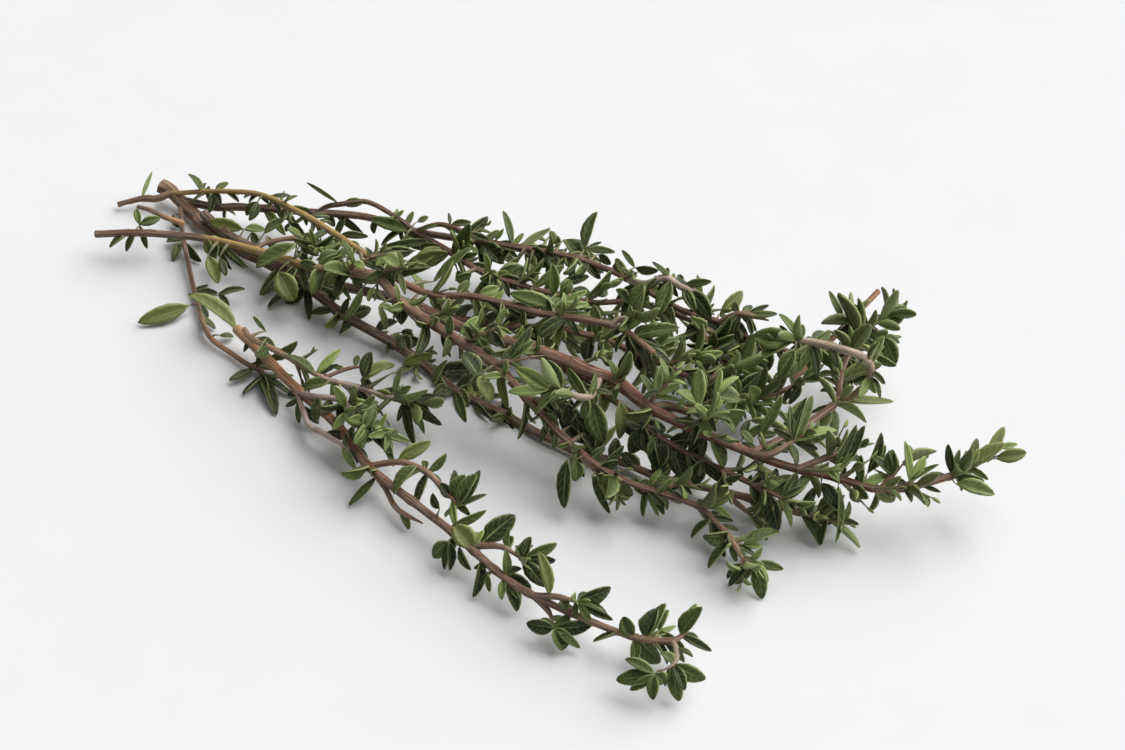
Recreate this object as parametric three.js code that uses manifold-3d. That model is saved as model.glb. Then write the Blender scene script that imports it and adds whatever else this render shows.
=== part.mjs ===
// A bundle of fresh thyme lying on a table, in millimetres, +Z up, the table at Z = 0.
// The cut ends lie toward -X and the growing tips fan out toward +X.
// Each sprig is one solid: its stems with every leaf fused to them.
import * as THREE from 'three';
import { mergeVertices } from 'three/addons/utils/BufferGeometryUtils.js';
import Module from 'manifold-3d';

const wasm = await Module();
wasm.setup();

// ---- Stems ----
const STEM_SIDES = 4;         // thyme stems are square, with a flat side down
const CORNER = 1.15;          // a corner's distance from the axis, over the radius
const STRAY = 0.2;            // how far the axis may leave the straight line between two rings
const BUTT_ROUNDING = 0.35;   // of the radius, on each cut end
const CURVE_STEPS = 12;       // straight steps that stand for one span of a route
const STEEP = 0.95;           // upward part of a direction that counts as upright
const STEM_BALL_PITCH = 1;    // along a stem, between the balls that stand for it

// ---- Leaves ----
const BLADE_THICKNESS = 0.9;      // from the midrib down to the rolled margins
const TUFT_THICKNESS = 0.8;
const SLENDERNESS = 0.36;         // width over length
const FULL_SECTIONS = [[0.32, 0.96], [0.72, 0.84]];   // [part of the length, part of the width]
const TUFT_SECTIONS = [[0.52, 1]];
const LEAST_FULL_LENGTH = 6.5;      // shorter leaves have one section
const PAIR_PITCH = [48, 70];      // degrees between a leaf of a pair and its stem
const TUFT_PITCH = [22, 52];
const TIP_PITCH = [12, 62];       // from the youngest leaf of a tip to the oldest
const TUFT_LENGTH = [0.5, 0.75];  // of the full leaf length
const TIP_LENGTH = [0.6, 0.95];
const PAIR_LENGTH = [0.8, 1.1];
const WIDTH_SPREAD = [0.85, 1.15];
const CURL = [0.02, 0.2];         // how far a leaf's tip bends back, of its length
const QUARTER_TURN = 90;          // each pair of leaves stands across the one before
const PAIR_TURN = [-18, 18];      // degrees round the stem, off a leaf's place in its pair
const TUFT_TURN = [20, 70];       // degrees round the stem, from the large leaf to its small one
const GOLDEN_ANGLE = 137.5;       // between the leaves of a tip
const TIP_SETBACK = 0.4;          // of the youngest leaf, from the end of the stem
const TIP_SPACING = 0.6;          // along the stem, from one leaf of a tip to the next
const TUFT_OFFSET = 1.2;          // of a small leaf, along the stem from its node
const TIPWARD = 0.5;              // how much the face of a single leaf leans toward the stem's tip
const LEAST_LEVEL = 0.3;          // level part of a direction that is too short to lay down by itself

// ---- Room for each leaf ----
const LOW_TIP = 1;                // height of the tip of a leaf that is turned up off the table
const BLADE_REACH = 0.55;         // radius of the balls that stand for a blade
const BALL_PARTS = [0.25, 0.4, 0.55, 0.7, 0.85, 1];   // of the length, where a blade has balls
const ROOT_PART = 0.4;            // of the length, where a blade may crowd its own sprig
const MARGIN_PART = 0.35;         // of the width, from the midrib to the balls near the margins
const TIP_NARROWING = 2.4;        // how quickly the margin balls close in on the tip
const LEAST_MARGIN = 0.4;         // margin balls closer to the midrib than this are left out
const SPRIG_GAP = 0.25;           // between the balls of two sprigs
const TABLE_COST = 3;             // of a ball below the table, counted in crowded balls
const CELL = 2.5;                 // of the grid that finds what is near
const TRIES = 7;                  // aims tried for each leaf
const AIM_TURN = 47;              // degrees that each new aim turns round the stem
const AIM_LIFT = 9;               // degrees that it leans, by turns in and out
const SHORTENED = 0.6;            // length of a leaf that finds no room at its full length
const BELOW_TABLE = [400, 400, 20];

// The middle of the bundle's footprint, where the part has its origin.
const MIDDLE = [0.9, -1.7];

// One shoot is a stem with what grows on it:
//   route   points that its axis passes through
//   girth   its diameter at the start and at the end
//   nodes   distances along it where a pair of leaves stands
//   leaf    length of a full leaf
//   tuft    small leaves in the angle of each leaf of a pair
//   tip     leaves gathered at its end
//   leaves  single leaves: [distance along the stem, place of the tip, width]
const SPRIGS = [
  {
    name: 'woody_clump',
    colour: '#4b5238',
    shoots: [
      // The stump that its five stems grew from, and a dry twig beside it.
      { route: [[-77, 25, 3], [-75, 25, 2.5], [-70, 23, 1.6], [-64, 20, 1.4]], girth: [2.8, 2.1] },
      { route: [[-74, 24, 3], [-76, 22, 2.5], [-79, 21, 2], [-82, 19, 1]], girth: [1.3, 0.8],
        leaves: [[4, [-79, 24, 6], 1.4]] },
      // The lowest stem, which carries the bundle on the table.
      { route: [[-67, 21, 1.5], [-62, 19, 1.5], [-56, 17, 1.5], [-47, 15, 2], [-37, 12, 2],
        [-30, 9, 2], [-21, 7, 1.8], [-13, 5, 1.2], [-5, 2, 0.5], [6, 0, 0.5], [13, -2, 1],
        [21, -3, 1], [27, -2, 1], [34, -3, 1.5], [44, -2, 2], [50, -2, 2.5], [58, -2, 3],
        [62, -2, 3.5]], girth: [1.9, 1],
        nodes: [22, 38, 55, 75, 90, 104, 119, 127], leaf: 7, tuft: 1, tip: 5,
        leaves: [[23, [-42, 9, 0.8], 3.2], [25, [-42, 6, 0.8], 2.6], [116, [52, -6, 1], 2.8],
          [119, [55, -5, 1], 2.2], [127, [61, -5, 1.5], 2.2], [126, [62, 3, 0], 2.4]] },
      { route: [[44, -2, 2], [47, -4, 2.5], [51, -6, 2.5]], girth: [0.9, 0.8], leaf: 6, tip: 5 },
      // The dark stem along the back.
      { route: [[-72, 24, 2.2], [-65, 24, 3], [-60, 25, 4], [-48, 28, 5], [-38, 30, 6],
        [-28, 29, 7], [-17, 30, 8], [-2, 32, 9], [6, 32, 9], [11, 31, 9], [21, 29, 8],
        [28, 30, 7], [36, 29, 6], [42, 30, 6]], girth: [1.4, 0.8],
        nodes: [17, 40, 54, 59, 64, 69, 74, 84, 88, 93, 97, 104, 109], leaf: 7, tuft: 1, tip: 5,
        leaves: [[33, [-28, 29, 8.5], 2.8], [11, [-61, 18, 6], 2.8], [59, [-14, 35, 12], 2.4],
          [63, [-6, 36, 11], 2.2], [73, [0, 40, 12.5], 2.6], [97, [30, 35, 11], 2.2],
          [96, [22, 31, 12], 2.8], [3, [-70, 25, 8], 2], [106, [35, 32, 0], 2.6]] },
      { route: [[-28, 29, 7], [-21, 27, 7], [-12, 24, 7], [-2, 24, 7], [7, 25, 7], [13, 28, 7],
        [22, 29, 6.5], [32, 27, 6]], girth: [1, 0.8],
        nodes: [9, 17, 23, 29, 35, 41, 47, 55], leaf: 7, tuft: 1, tip: 5 },
      // Two thin twigs that arch off it and come back.
      { route: [[-47, 28, 5], [-44, 27, 8], [-41, 27, 9.5], [-37, 29, 10], [-31, 29, 8.5],
        [-28, 29, 7]], girth: [0.9, 0.8], leaves: [[7, [-38, 29, 13], 2], [6, [-48, 28, 11.5], 1.4]] },
      { route: [[-28, 29, 7], [-23, 29, 10], [-18, 29, 10], [-15, 30, 8.4]], girth: [0.8, 0.8],
        nodes: [7], leaf: 5 },
      // A young shoot that bends over and hangs its leaves.
      { route: [[11, 31, 9], [15, 28, 11.5], [17, 27, 13], [19, 28, 14], [21, 28, 13.5],
        [24, 29, 12]], girth: [1, 1.3], nodes: [6, 10], leaf: 7, tuft: 1, tip: 5 },
      { route: [[25, 29, 8], [27, 26, 7], [30, 24, 6], [32, 23, 5], [35, 20, 4.5]],
        girth: [1, 0.8], nodes: [5, 10], leaf: 7, tuft: 1, tip: 5 },
      { route: [[28, 30, 7], [30, 30, 9], [32, 30, 10], [36, 31, 9.5]], girth: [1, 0.9],
        nodes: [6], leaf: 6, tip: 5,
        leaves: [[4, [35, 34, 12], 1.4], [7, [38, 33, 10], 1.8]] },
      // The yellowish stem on top.
      { route: [[-74, 24, 3], [-64, 25, 6], [-57, 26, 7], [-50, 24, 8], [-42, 21, 9],
        [-30, 16, 10], [-20, 12, 10], [-14, 12, 9.5], [-8, 14, 10], [5, 14, 11], [11, 15, 11.5],
        [18, 15, 12], [25, 12, 12]], girth: [1.2, 1.4],
        nodes: [24, 46, 63, 75, 84], leaf: 6.5, tuft: 1,
        leaves: [[82, [-2, 15, 13.5], 2.6], [93, [25, 19, 13], 2.4]] },
      { route: [[16, 15, 12], [17, 16, 13], [20, 16, 14.5]], girth: [1, 0.8], leaf: 7, tip: 6 },
      // The thin stem that crosses under the others toward the front.
      { route: [[-71, 22, 2], [-68, 18, 2], [-63, 12, 1.8], [-55, 3, 1.4], [-47, -5, 1.2],
        [-41, -7, 1], [-37, -9, 0.9]], girth: [0.9, 0.8], nodes: [47], leaf: 6, tuft: 1, tip: 4,
        leaves: [[30, [-58, -8, 1.3], 3], [35, [-47, 4, 2], 2], [46, [-39, -13, 0], 2.4]] },
    ],
  },
  {
    name: 'long_sprig',
    colour: '#56603f',
    shoots: [
      { route: [[-77, 6, 4.5], [-69, 9, 5.5], [-58, 12, 6], [-46, 12, 7], [-37, 11, 8],
        [-30, 10, 10], [-23, 9, 12], [-16, 4, 13], [-9, 1, 13.5], [-1, -2, 14], [6, -4, 13.5],
        [13, -7, 12], [18, -8, 9], [24, -10, 7.5], [29, -11, 6.5], [37, -10, 5], [49, -11, 4],
        [53, -13, 4], [57, -18, 4], [59, -21, 4]], girth: [1.2, 1],
        nodes: [37, 49, 56, 65, 72, 78, 84, 90, 96, 105, 114, 121, 128, 135, 141], leaf: 7, tuft: 1, tip: 5,
        leaves: [[5, [-75, 6, 2], 1.8], [8, [-70, 13, 7.5], 1.8], [31, [-41, 14, 10.5], 2.8],
          [31, [-45, 5, 7], 2.8], [104, [25, -16, 2.5], 2.2], [110, [33, -10, 4], 3.2],
          [96, [14, -1, 14], 2.4], [139, [57, -10, 5], 2]] },
      { route: [[-30, 10, 10], [-28, 10, 12], [-26, 12, 13]], girth: [0.9, 0.8], leaf: 5.5, tip: 5 },
      { route: [[-23, 9, 12], [-21, 9, 14], [-19, 9, 15]], girth: [0.9, 0.8], leaf: 5.5, tip: 5 },
      { route: [[6, -4, 13.5], [8, -4, 15], [11, -2, 15.5]], girth: [1, 0.8], leaf: 6, tip: 5 },
      { route: [[24, -10, 7.5], [27, -11, 6], [30, -12, 4.5]], girth: [1, 0.8], leaf: 7, tip: 5 },
      { route: [[37, -10, 5], [38, -9, 6], [41, -8, 6.5]], girth: [1, 0.8], leaf: 6, tip: 5 },
      { route: [[-1, -2, 14], [1, -1, 15.5], [3, 0, 16.5]], girth: [0.9, 0.8], leaf: 6, tip: 6 },
    ],
  },
  {
    name: 'front_sprig',
    colour: '#55613f',
    shoots: [
      { route: [[-42, -4, 3.5], [-34, -8, 3.5], [-25, -13, 4], [-14, -18, 4], [-5, -24, 4],
        [7, -29, 4.5], [15, -32, 4.5], [24, -36, 4.5], [31, -38, 4.5], [45, -39, 4.5],
        [52, -38, 5], [54, -36, 6], [54, -35, 7]], girth: [1.6, 0.9],
        nodes: [10, 20, 31, 42, 53, 63, 68, 73, 80, 87, 97, 102], leaf: 7, tuft: 1, tip: 5,
        leaves: [[0, [-52, -2, 7], 2.6], [42, [-4, -30, 1.5], 2], [68, [22, -28, 8], 2.6],
          [80, [32, -33, 8], 2.2], [105, [54, -33, 11], 2.4]] },
      { route: [[-24, -14, 4], [-20, -15, 5.5], [-15, -15, 6.5], [-10, -18, 7], [-6, -19, 7]],
        girth: [1, 0.8], nodes: [10, 14], leaf: 6.5, tuft: 1, tip: 6 },
      { route: [[-24, -14, 4], [-21, -17, 3], [-17, -19, 2], [-12, -21, 1.6], [-9, -22, 1.5]],
        girth: [0.9, 0.8], nodes: [10], leaf: 6, tip: 5 },
      { route: [[-5, -24, 4], [0, -23, 6], [5, -24, 7], [9, -26, 7], [13, -28, 6.5]],
        girth: [1, 0.8], nodes: [11, 15], leaf: 6.5, tuft: 1, tip: 6 },
      { route: [[-5, -24, 4], [-1, -26, 3], [3, -29, 2.5], [8, -30, 2.5]], girth: [0.9, 0.8],
        leaf: 6, tip: 5 },
      { route: [[18, -33, 4.5], [23, -33, 6.5], [27, -34, 6.5]], girth: [1, 0.8], leaf: 6, tip: 6 },
      { route: [[31, -38, 4.5], [34, -39, 3.5], [36, -41, 3]], girth: [1, 0.8], leaf: 6.5, tip: 6 },
      { route: [[31, -38, 4.5], [35, -38, 6], [39, -38, 6.5]], girth: [1, 0.8], leaf: 6, tip: 5 },
      { route: [[48, -39, 4.7], [51, -42, 5.5], [54, -45, 5.5], [56, -47, 5]], girth: [1.1, 0.9],
        nodes: [5], leaf: 6.5, tuft: 1, tip: 6 },
    ],
  },
  {
    name: 'front_side_sprig',
    colour: '#4e5c3d',
    shoots: [
      { route: [[-39, -6, 5.8], [-36, -8, 6.2], [-29, -9, 6], [-21, -11, 6], [-16, -10, 5.5],
        [-8, -9, 5], [-4, -8, 5]], girth: [0.9, 0.8],
        nodes: [6, 13, 21, 26, 31], leaf: 7, tuft: 1, tip: 5 },
      { route: [[-21, -11, 6], [-18, -8, 7], [-15, -6, 7]], girth: [0.9, 0.8], leaf: 6, tip: 5 },
    ],
  },
  {
    name: 'right_sprig',
    colour: '#51603f',
    shoots: [
      { route: [[-34, 12, 5], [-20, 11, 7], [-5, 7, 9], [8, 5, 11], [18, 3, 12], [24, 2, 12.5],
        [31, -1, 12.5], [39, -2, 12], [49, -2, 11], [54, -1, 10], [60, 1, 9], [66, 2, 8.5],
        [70, 4, 8.5], [75, 9, 9], [79, 14, 10]], girth: [1.9, 0.9],
        nodes: [30, 37, 43, 51, 59, 67, 76, 85, 92, 98, 103, 108, 115], leaf: 7, tuft: 1, tip: 6,
        leaves: [[98, [61, 8, 14], 1.8], [99, [65, -4, 2.5], 1.6], [121, [84, 17, 10.5], 2],
          [121, [81, 19, 14], 2], [108, [66, 7, 13], 2]] },
      // Leafy side shoots on its upper side.
      { route: [[31, -1, 12.5], [31, 0, 14], [32, 1, 15.5]], girth: [0.9, 0.8], leaf: 6.5, tip: 6 },
      { route: [[39, -2, 12], [40, -2, 14], [41, -2, 15.5]], girth: [0.9, 0.8], leaf: 6, tip: 6 },
      { route: [[67, 2, 8.5], [68, 4, 10], [69, 6, 11.5]], girth: [0.9, 0.8], leaf: 7, tip: 6 },
      // The shoot that crosses below it, and the blunt one that was cut.
      { route: [[30, 0, 12.5], [36, -3, 9], [44, -4, 8], [50, -5, 8], [56, -6, 8]],
        girth: [1, 0.8], nodes: [14, 20], leaf: 6.5, tuft: 1, tip: 5 },
      { route: [[31, -1, 12.5], [33, 0, 13], [37, 1, 12.5]], girth: [1.3, 1.3] },
      // A young shoot that turns back toward the cut ends.
      { route: [[21, 2, 12.3], [22, -2, 13.5], [22.5, -4.5, 14], [21, -6, 14.5], [18, -6, 15]],
        girth: [1, 1.1], leaf: 7, tip: 6 },
      { route: [[48, -2, 11], [51, -2, 12], [54, 2, 13.5]], girth: [1, 1], leaf: 7, tip: 5,
        leaves: [[7, [59, 6, 14.5], 2.6], [7, [51, 4, 18], 1.8]] },
      { route: [[55, -1, 10], [58, 2, 11], [61, 6, 11]], girth: [1, 0.9], nodes: [5], leaf: 7,
        tuft: 1, tip: 5 },
      // The branch that rises at the far right, its hooked shoot and a bare stiff twig.
      { route: [[48, -2, 11], [50, 6, 9], [52, 13, 8.5], [53, 19, 8], [52, 22, 9], [51, 27, 10],
        [51, 33, 11], [53, 37, 12]], girth: [1.2, 0.9],
        nodes: [9, 20, 26, 31, 36], leaf: 7, tuft: 1, tip: 5,
        leaves: [[35, [47, 36, 14], 2.4], [33, [43, 37, 13], 1.6], [21, [61, 22, 9], 1.6],
          [38, [56, 33, 9], 2]] },
      { route: [[53, 19, 8], [55, 20, 9], [57, 21, 12], [57, 21, 15], [56, 20, 17], [54, 19, 18],
        [48, 19, 17.5], [44, 18, 17]], girth: [0.9, 1.4], nodes: [9], leaf: 6, tuft: 1, tip: 5,
        leaves: [[22, [39, 16, 17], 3.2], [21, [42, 21, 20], 1.8]] },
      { route: [[45, -2, 11.5], [44, 8, 8], [43, 16, 6], [45, 26, 7], [46, 33, 8], [48, 47, 9]],
        girth: [1, 0.9] },
    ],
  },
  {
    name: 'mid_sprig',
    colour: '#485538',
    shoots: [
      { route: [[-19, 13, 6], [-13, 12, 6], [-6, 13, 6], [-2, 14, 6], [5, 17, 6.5], [11, 17, 7],
        [16, 17, 7], [23, 16, 7], [32, 15, 6.5], [40, 14, 6.5]], girth: [1.2, 0.8],
        nodes: [11, 18, 25, 32, 41, 46, 52, 57], leaf: 7, tuft: 1, tip: 6 },
      { route: [[23, 16, 7], [26, 15, 8.5], [29, 16, 9.5]], girth: [0.9, 0.8], leaf: 6.5, tip: 5 },
      { route: [[32, 15, 6.5], [34, 16, 8], [36, 19, 8.5]], girth: [0.9, 0.8], leaf: 6.5, tip: 5 },
    ],
  },
];

// ---- Chance, fixed by whole-number keys, so that the bundle is always the same ----
function chance(...keys) {
  let hash = 0x2545f491;
  for (const key of keys) {
    hash = Math.imul(hash ^ key, 0x85ebca6b);
    hash ^= hash >>> 13;
    hash = Math.imul(hash, 0xc2b2ae35);
    hash ^= hash >>> 16;
  }
  return (hash >>> 0) / 2 ** 32;
}

function pick([low, high], ...keys) {
  return low + (high - low) * chance(...keys);
}

// ---- Stems ----
// Adds the fine axis of a shoot, with the distance along it at each point.
function traceAxis(shoot) {
  const points = shoot.route.map((p) => new THREE.Vector3(...p));
  const curve = new THREE.CatmullRomCurve3(points, false, 'catmullrom', 0.5);
  const steps = CURVE_STEPS * (points.length - 1);
  shoot.axis = [];
  shoot.reach = [0];
  for (let i = 0; i <= steps; i += 1) {
    shoot.axis.push(curve.getPoint(i / steps));
    if (i > 0) {
      shoot.reach.push(shoot.reach[i - 1] + shoot.axis[i].distanceTo(shoot.axis[i - 1]));
    }
  }
  shoot.length = shoot.reach[steps];
}

// The place, direction and radius of a stem at a distance along it.
function along(shoot, distance) {
  const last = shoot.axis.length - 1;
  let i = 1;
  while (i < last && shoot.reach[i] < distance) {
    i += 1;
  }
  const span = shoot.reach[i] - shoot.reach[i - 1];
  const part = THREE.MathUtils.clamp((distance - shoot.reach[i - 1]) / span, 0, 1);
  const place = shoot.axis[i - 1].clone().lerp(shoot.axis[i], part);
  const ahead = shoot.axis[Math.min(i + 1, last)];
  const behind = shoot.axis[Math.max(i - 2, 0)];
  const direction = ahead.clone().sub(behind).normalize();
  const [first, end] = shoot.girth;
  const radius = (first + ((end - first) * distance) / shoot.length) / 2;
  return { place, direction, radius };
}

// Two unit vectors across a direction: one level, one leaning up.
function across(direction) {
  const up = Math.abs(direction.z) > STEEP ? new THREE.Vector3(1, 0, 0) : new THREE.Vector3(0, 0, 1);
  const level = new THREE.Vector3().crossVectors(direction, up).normalize();
  const lift = new THREE.Vector3().crossVectors(level, direction);
  return { level, lift };
}

function toSolid(points, faces) {
  const geometry = new THREE.BufferGeometry();
  geometry.setAttribute('position', new THREE.Float32BufferAttribute(points.flatMap((p) => [...p]), 3));
  geometry.setIndex(faces.flat());
  return geometryToSolid(geometry);
}

function geometryToSolid(geometry) {
  return new wasm.Manifold(new wasm.Mesh({
    numProp: 3,
    vertProperties: new Float32Array(geometry.getAttribute('position').array),
    triVerts: new Uint32Array(geometry.index.array),
  }));
}

// The distances along a shoot where its stem needs a ring of vertices.
function ringDistances(shoot) {
  const distances = [0];
  let start = 0;
  for (let i = 2; i < shoot.axis.length; i += 1) {
    const chord = new THREE.Line3(shoot.axis[start], shoot.axis[i]);
    const strays = (p) => chord.closestPointToPoint(p, true, new THREE.Vector3()).distanceTo(p) > STRAY;
    if (shoot.axis.slice(start + 1, i).some(strays)) {
      start = i - 1;
      distances.push(shoot.reach[start]);
    }
  }
  distances.push(shoot.length);
  return distances;
}

// A tapering stem with slightly rounded cut ends.
function stemSolid(shoot) {
  const stations = ringDistances(shoot).map((distance) => along(shoot, distance));
  const rings = stations.length;
  const first = stations[0];
  const end = stations[rings - 1];
  const points = [first.place.clone().addScaledVector(first.direction, -BUTT_ROUNDING * first.radius)];
  let before = null;
  for (const { place, direction, radius } of stations) {
    const { level, lift } = across(direction);
    if (before && level.dot(before) < 0) {    // keeps a stem that turns past upright from twisting
      level.negate();
      lift.negate();
    }
    before = level;
    for (let side = 0; side < STEM_SIDES; side += 1) {
      const turn = (2 * Math.PI * (side + 0.5)) / STEM_SIDES;
      points.push(place.clone()
        .addScaledVector(level, CORNER * radius * Math.cos(turn))
        .addScaledVector(lift, CORNER * radius * Math.sin(turn)));
    }
  }
  points.push(end.place.clone().addScaledVector(end.direction, BUTT_ROUNDING * end.radius));
  const faces = [];
  const last = points.length - 1;
  for (let side = 0; side < STEM_SIDES; side += 1) {
    const next = (side + 1) % STEM_SIDES;
    faces.push([0, 1 + side, 1 + next]);
    faces.push([last, last - STEM_SIDES + next, last - STEM_SIDES + side]);
    for (let ring = 0; ring < rings - 1; ring += 1) {
      const a = 1 + ring * STEM_SIDES + side;
      const b = 1 + ring * STEM_SIDES + next;
      faces.push([a, a + STEM_SIDES, b + STEM_SIDES]);
      faces.push([a, b + STEM_SIDES, b]);
    }
  }
  return toSolid(points, faces);
}

// ---- Leaves ----
// The middle line of a leaf at a part of its length: straight at the root, then bent back.
function midrib(leaf, part) {
  return leaf.root.clone()
    .addScaledVector(leaf.direction, leaf.length * part)
    .addScaledVector(leaf.face, -leaf.length * leaf.curl * part * part);
}

// A blade from its root on the stem's axis to its tip, roofed along the midrib, its margins rolled under.
function leafSolid(leaf) {
  const full = leaf.length >= LEAST_FULL_LENGTH;
  const half = (full ? BLADE_THICKNESS : TUFT_THICKNESS) / 2;
  const sections = full ? FULL_SECTIONS : TUFT_SECTIONS;
  const points = [leaf.root];
  for (const [part, share] of sections) {
    const middle = midrib(leaf, part);
    const reach = (leaf.width / 2) * share;
    points.push(middle.clone().addScaledVector(leaf.face, half));
    points.push(middle.clone().addScaledVector(leaf.side, -reach).addScaledVector(leaf.face, -half));
    points.push(middle.clone().addScaledVector(leaf.side, reach).addScaledVector(leaf.face, -half));
  }
  points.push(midrib(leaf, 1));
  const faces = [];
  const last = points.length - 1;
  for (let edge = 0; edge < 3; edge += 1) {
    const next = (edge + 1) % 3;
    faces.push([0, 1 + edge, 1 + next]);
    faces.push([last, last - 3 + next, last - 3 + edge]);
    for (let section = 0; section < sections.length - 1; section += 1) {
      const a = 1 + section * 3 + edge;
      const b = 1 + section * 3 + next;
      faces.push([a, a + 3, b + 3]);
      faces.push([a, b + 3, b]);
    }
  }
  return toSolid(points, faces);
}

// A leaf that would dip into the table is turned up to lie just over it.
function layOnTable(direction, root, length, sideways) {
  const lowest = (LOW_TIP - root.z) / length;
  if (direction.z >= lowest) {
    return direction;
  }
  const dip = Math.max(lowest, -STEEP);
  const level = new THREE.Vector3(direction.x, direction.y, 0);
  if (level.length() < LEAST_LEVEL) {
    level.add(sideways).setZ(0);
  }
  return level.normalize().multiplyScalar(Math.sqrt(1 - dip * dip)).setZ(dip);
}

// The upper face of a leaf looks toward the shoot's tip, or up where the leaf lies down.
function faceOf(direction, toward) {
  return toward.clone().addScaledVector(direction, -toward.dot(direction)).normalize();
}

function makeLeaf(root, direction, toward, length, width, curl) {
  const face = faceOf(direction, toward);
  const side = new THREE.Vector3().crossVectors(direction, face);
  return { root, direction, face, side, length, width, curl };
}

// The aim number `trial` of a leaf that stands at an azimuth and pitch on its stem.
function aimLeaf(station, wish, trial) {
  const swing = trial % 2 === 0 ? 1 : -1;
  const azimuth = THREE.MathUtils.degToRad(wish.azimuth + swing * AIM_TURN * Math.ceil(trial / 2));
  const pitch = THREE.MathUtils.degToRad(wish.pitch + swing * AIM_LIFT * Math.ceil(trial / 2));
  const { level, lift } = across(station.direction);
  const outward = level.clone().multiplyScalar(Math.cos(azimuth)).addScaledVector(lift, Math.sin(azimuth));
  const free = station.direction.clone().multiplyScalar(Math.cos(pitch))
    .addScaledVector(outward, Math.sin(pitch));
  const direction = layOnTable(free, station.place, wish.length, level);
  const laid = direction !== free;
  const toward = laid ? new THREE.Vector3(0, 0, 1) : station.direction;
  const curl = laid ? 0 : wish.curl;
  return makeLeaf(station.place, direction, toward, wish.length, wish.width, curl);
}

// ---- Room: a grid of balls that stand for the stems and leaves already there ----
const grid = new Map();

function cellOf(point) {
  return [point.x, point.y, point.z].map((value) => Math.floor(value / CELL));
}

function occupy(point, radius, sprig) {
  const key = cellOf(point).join();
  if (!grid.has(key)) {
    grid.set(key, []);
  }
  grid.get(key).push({ point, radius, sprig });
}

function near(point) {
  const [cx, cy, cz] = cellOf(point);
  const found = [];
  for (let x = cx - 1; x <= cx + 1; x += 1) {
    for (let y = cy - 1; y <= cy + 1; y += 1) {
      for (let z = cz - 1; z <= cz + 1; z += 1) {
        found.push(...(grid.get([x, y, z].join()) ?? []));
      }
    }
  }
  return found;
}

// Points spread over the outer part of a blade, down its midrib and near its margins.
function bladePoints(leaf) {
  const points = [];
  for (const part of BALL_PARTS) {
    const middle = midrib(leaf, part);
    points.push(middle);
    const reach = leaf.width * MARGIN_PART * Math.min(1, TIP_NARROWING * (1 - part));
    if (part >= ROOT_PART && reach > LEAST_MARGIN) {
      points.push(middle.clone().addScaledVector(leaf.side, reach));
      points.push(middle.clone().addScaledVector(leaf.side, -reach));
    }
  }
  return points;
}

// What it costs to put a leaf here: Infinity where it would touch another sprig.
function crowding(leaf, sprig) {
  let cost = 0;
  for (const point of bladePoints(leaf)) {
    const rootward = point.distanceTo(leaf.root) < ROOT_PART * leaf.length;
    for (const other of near(point)) {
      const distance = point.distanceTo(other.point);
      if (other.sprig !== sprig && distance < BLADE_REACH + other.radius + SPRIG_GAP) {
        return Infinity;
      }
      if (other.sprig === sprig && !rootward && distance < BLADE_REACH + other.radius) {
        cost += 1;
      }
    }
    cost += point.z < 0 ? TABLE_COST : 0;
  }
  return cost;
}

// The least crowded aim, at full length or shortened, or nothing where there is no room.
function placeLeaf(station, wish, sprig) {
  for (const scale of [1, SHORTENED]) {
    const sized = { ...wish, length: wish.length * scale, width: wish.width * scale };
    let best = null;
    let least = Infinity;
    for (let trial = 0; trial < TRIES && least > 0; trial += 1) {
      const leaf = aimLeaf(station, sized, trial);
      const cost = crowding(leaf, sprig);
      if (cost < least) {
        best = leaf;
        least = cost;
      }
    }
    if (best) {
      return best;
    }
  }
  return null;
}

// ---- Growth: what stands on one shoot ----
function wishesOf(shoot, sprigNumber, shootNumber) {
  const wishes = [];
  const key = [sprigNumber, shootNumber];
  const want = (distance, azimuth, pitch, length) => {
    const n = wishes.length;
    const width = length * SLENDERNESS * pick(WIDTH_SPREAD, ...key, n, 1);
    wishes.push({ distance, azimuth, pitch, length, width, curl: pick(CURL, ...key, n, 2) });
  };
  (shoot.nodes ?? []).forEach((distance, node) => {
    const base = QUARTER_TURN * node + 360 * chance(...key);
    for (const opposite of [0, 180]) {
      const n = wishes.length;
      const azimuth = base + opposite + pick(PAIR_TURN, ...key, n, 3);
      want(distance, azimuth, pick(PAIR_PITCH, ...key, n, 4), shoot.leaf * pick(PAIR_LENGTH, ...key, n, 5));
      for (let small = 0; small < (shoot.tuft ?? 0); small += 1) {
        const m = wishes.length;
        const turned = base + opposite + (small % 2 === 0 ? 1 : -1) * pick(TUFT_TURN, ...key, m, 6);
        want(distance + TUFT_OFFSET, turned, pick(TUFT_PITCH, ...key, m, 7),
          shoot.leaf * pick(TUFT_LENGTH, ...key, m, 8));
      }
    }
  });
  for (let place = 0; place < (shoot.tip ?? 0); place += 1) {
    const m = wishes.length;
    const [young, old] = TIP_PITCH;
    const pitch = old + ((young - old) * place) / shoot.tip;
    const setback = TIP_SETBACK + TIP_SPACING * (shoot.tip - 1 - place);
    want(shoot.length - setback, GOLDEN_ANGLE * place, pitch, shoot.leaf * pick(TIP_LENGTH, ...key, m, 9));
  }
  return wishes;
}

function singleLeaf(shoot, [distance, tip, width]) {
  const station = along(shoot, distance);
  const reach = new THREE.Vector3(...tip).sub(station.place);
  const toward = station.direction.clone().multiplyScalar(TIPWARD).add(new THREE.Vector3(0, 0, 1));
  return makeLeaf(station.place, reach.clone().normalize(), toward, reach.length(), width, 0);
}

function keepLeaf(leaf, sprig) {
  sprig.leaves.push(leaf);
  for (const point of bladePoints(leaf)) {
    occupy(point, BLADE_REACH, sprig);
  }
}

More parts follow.
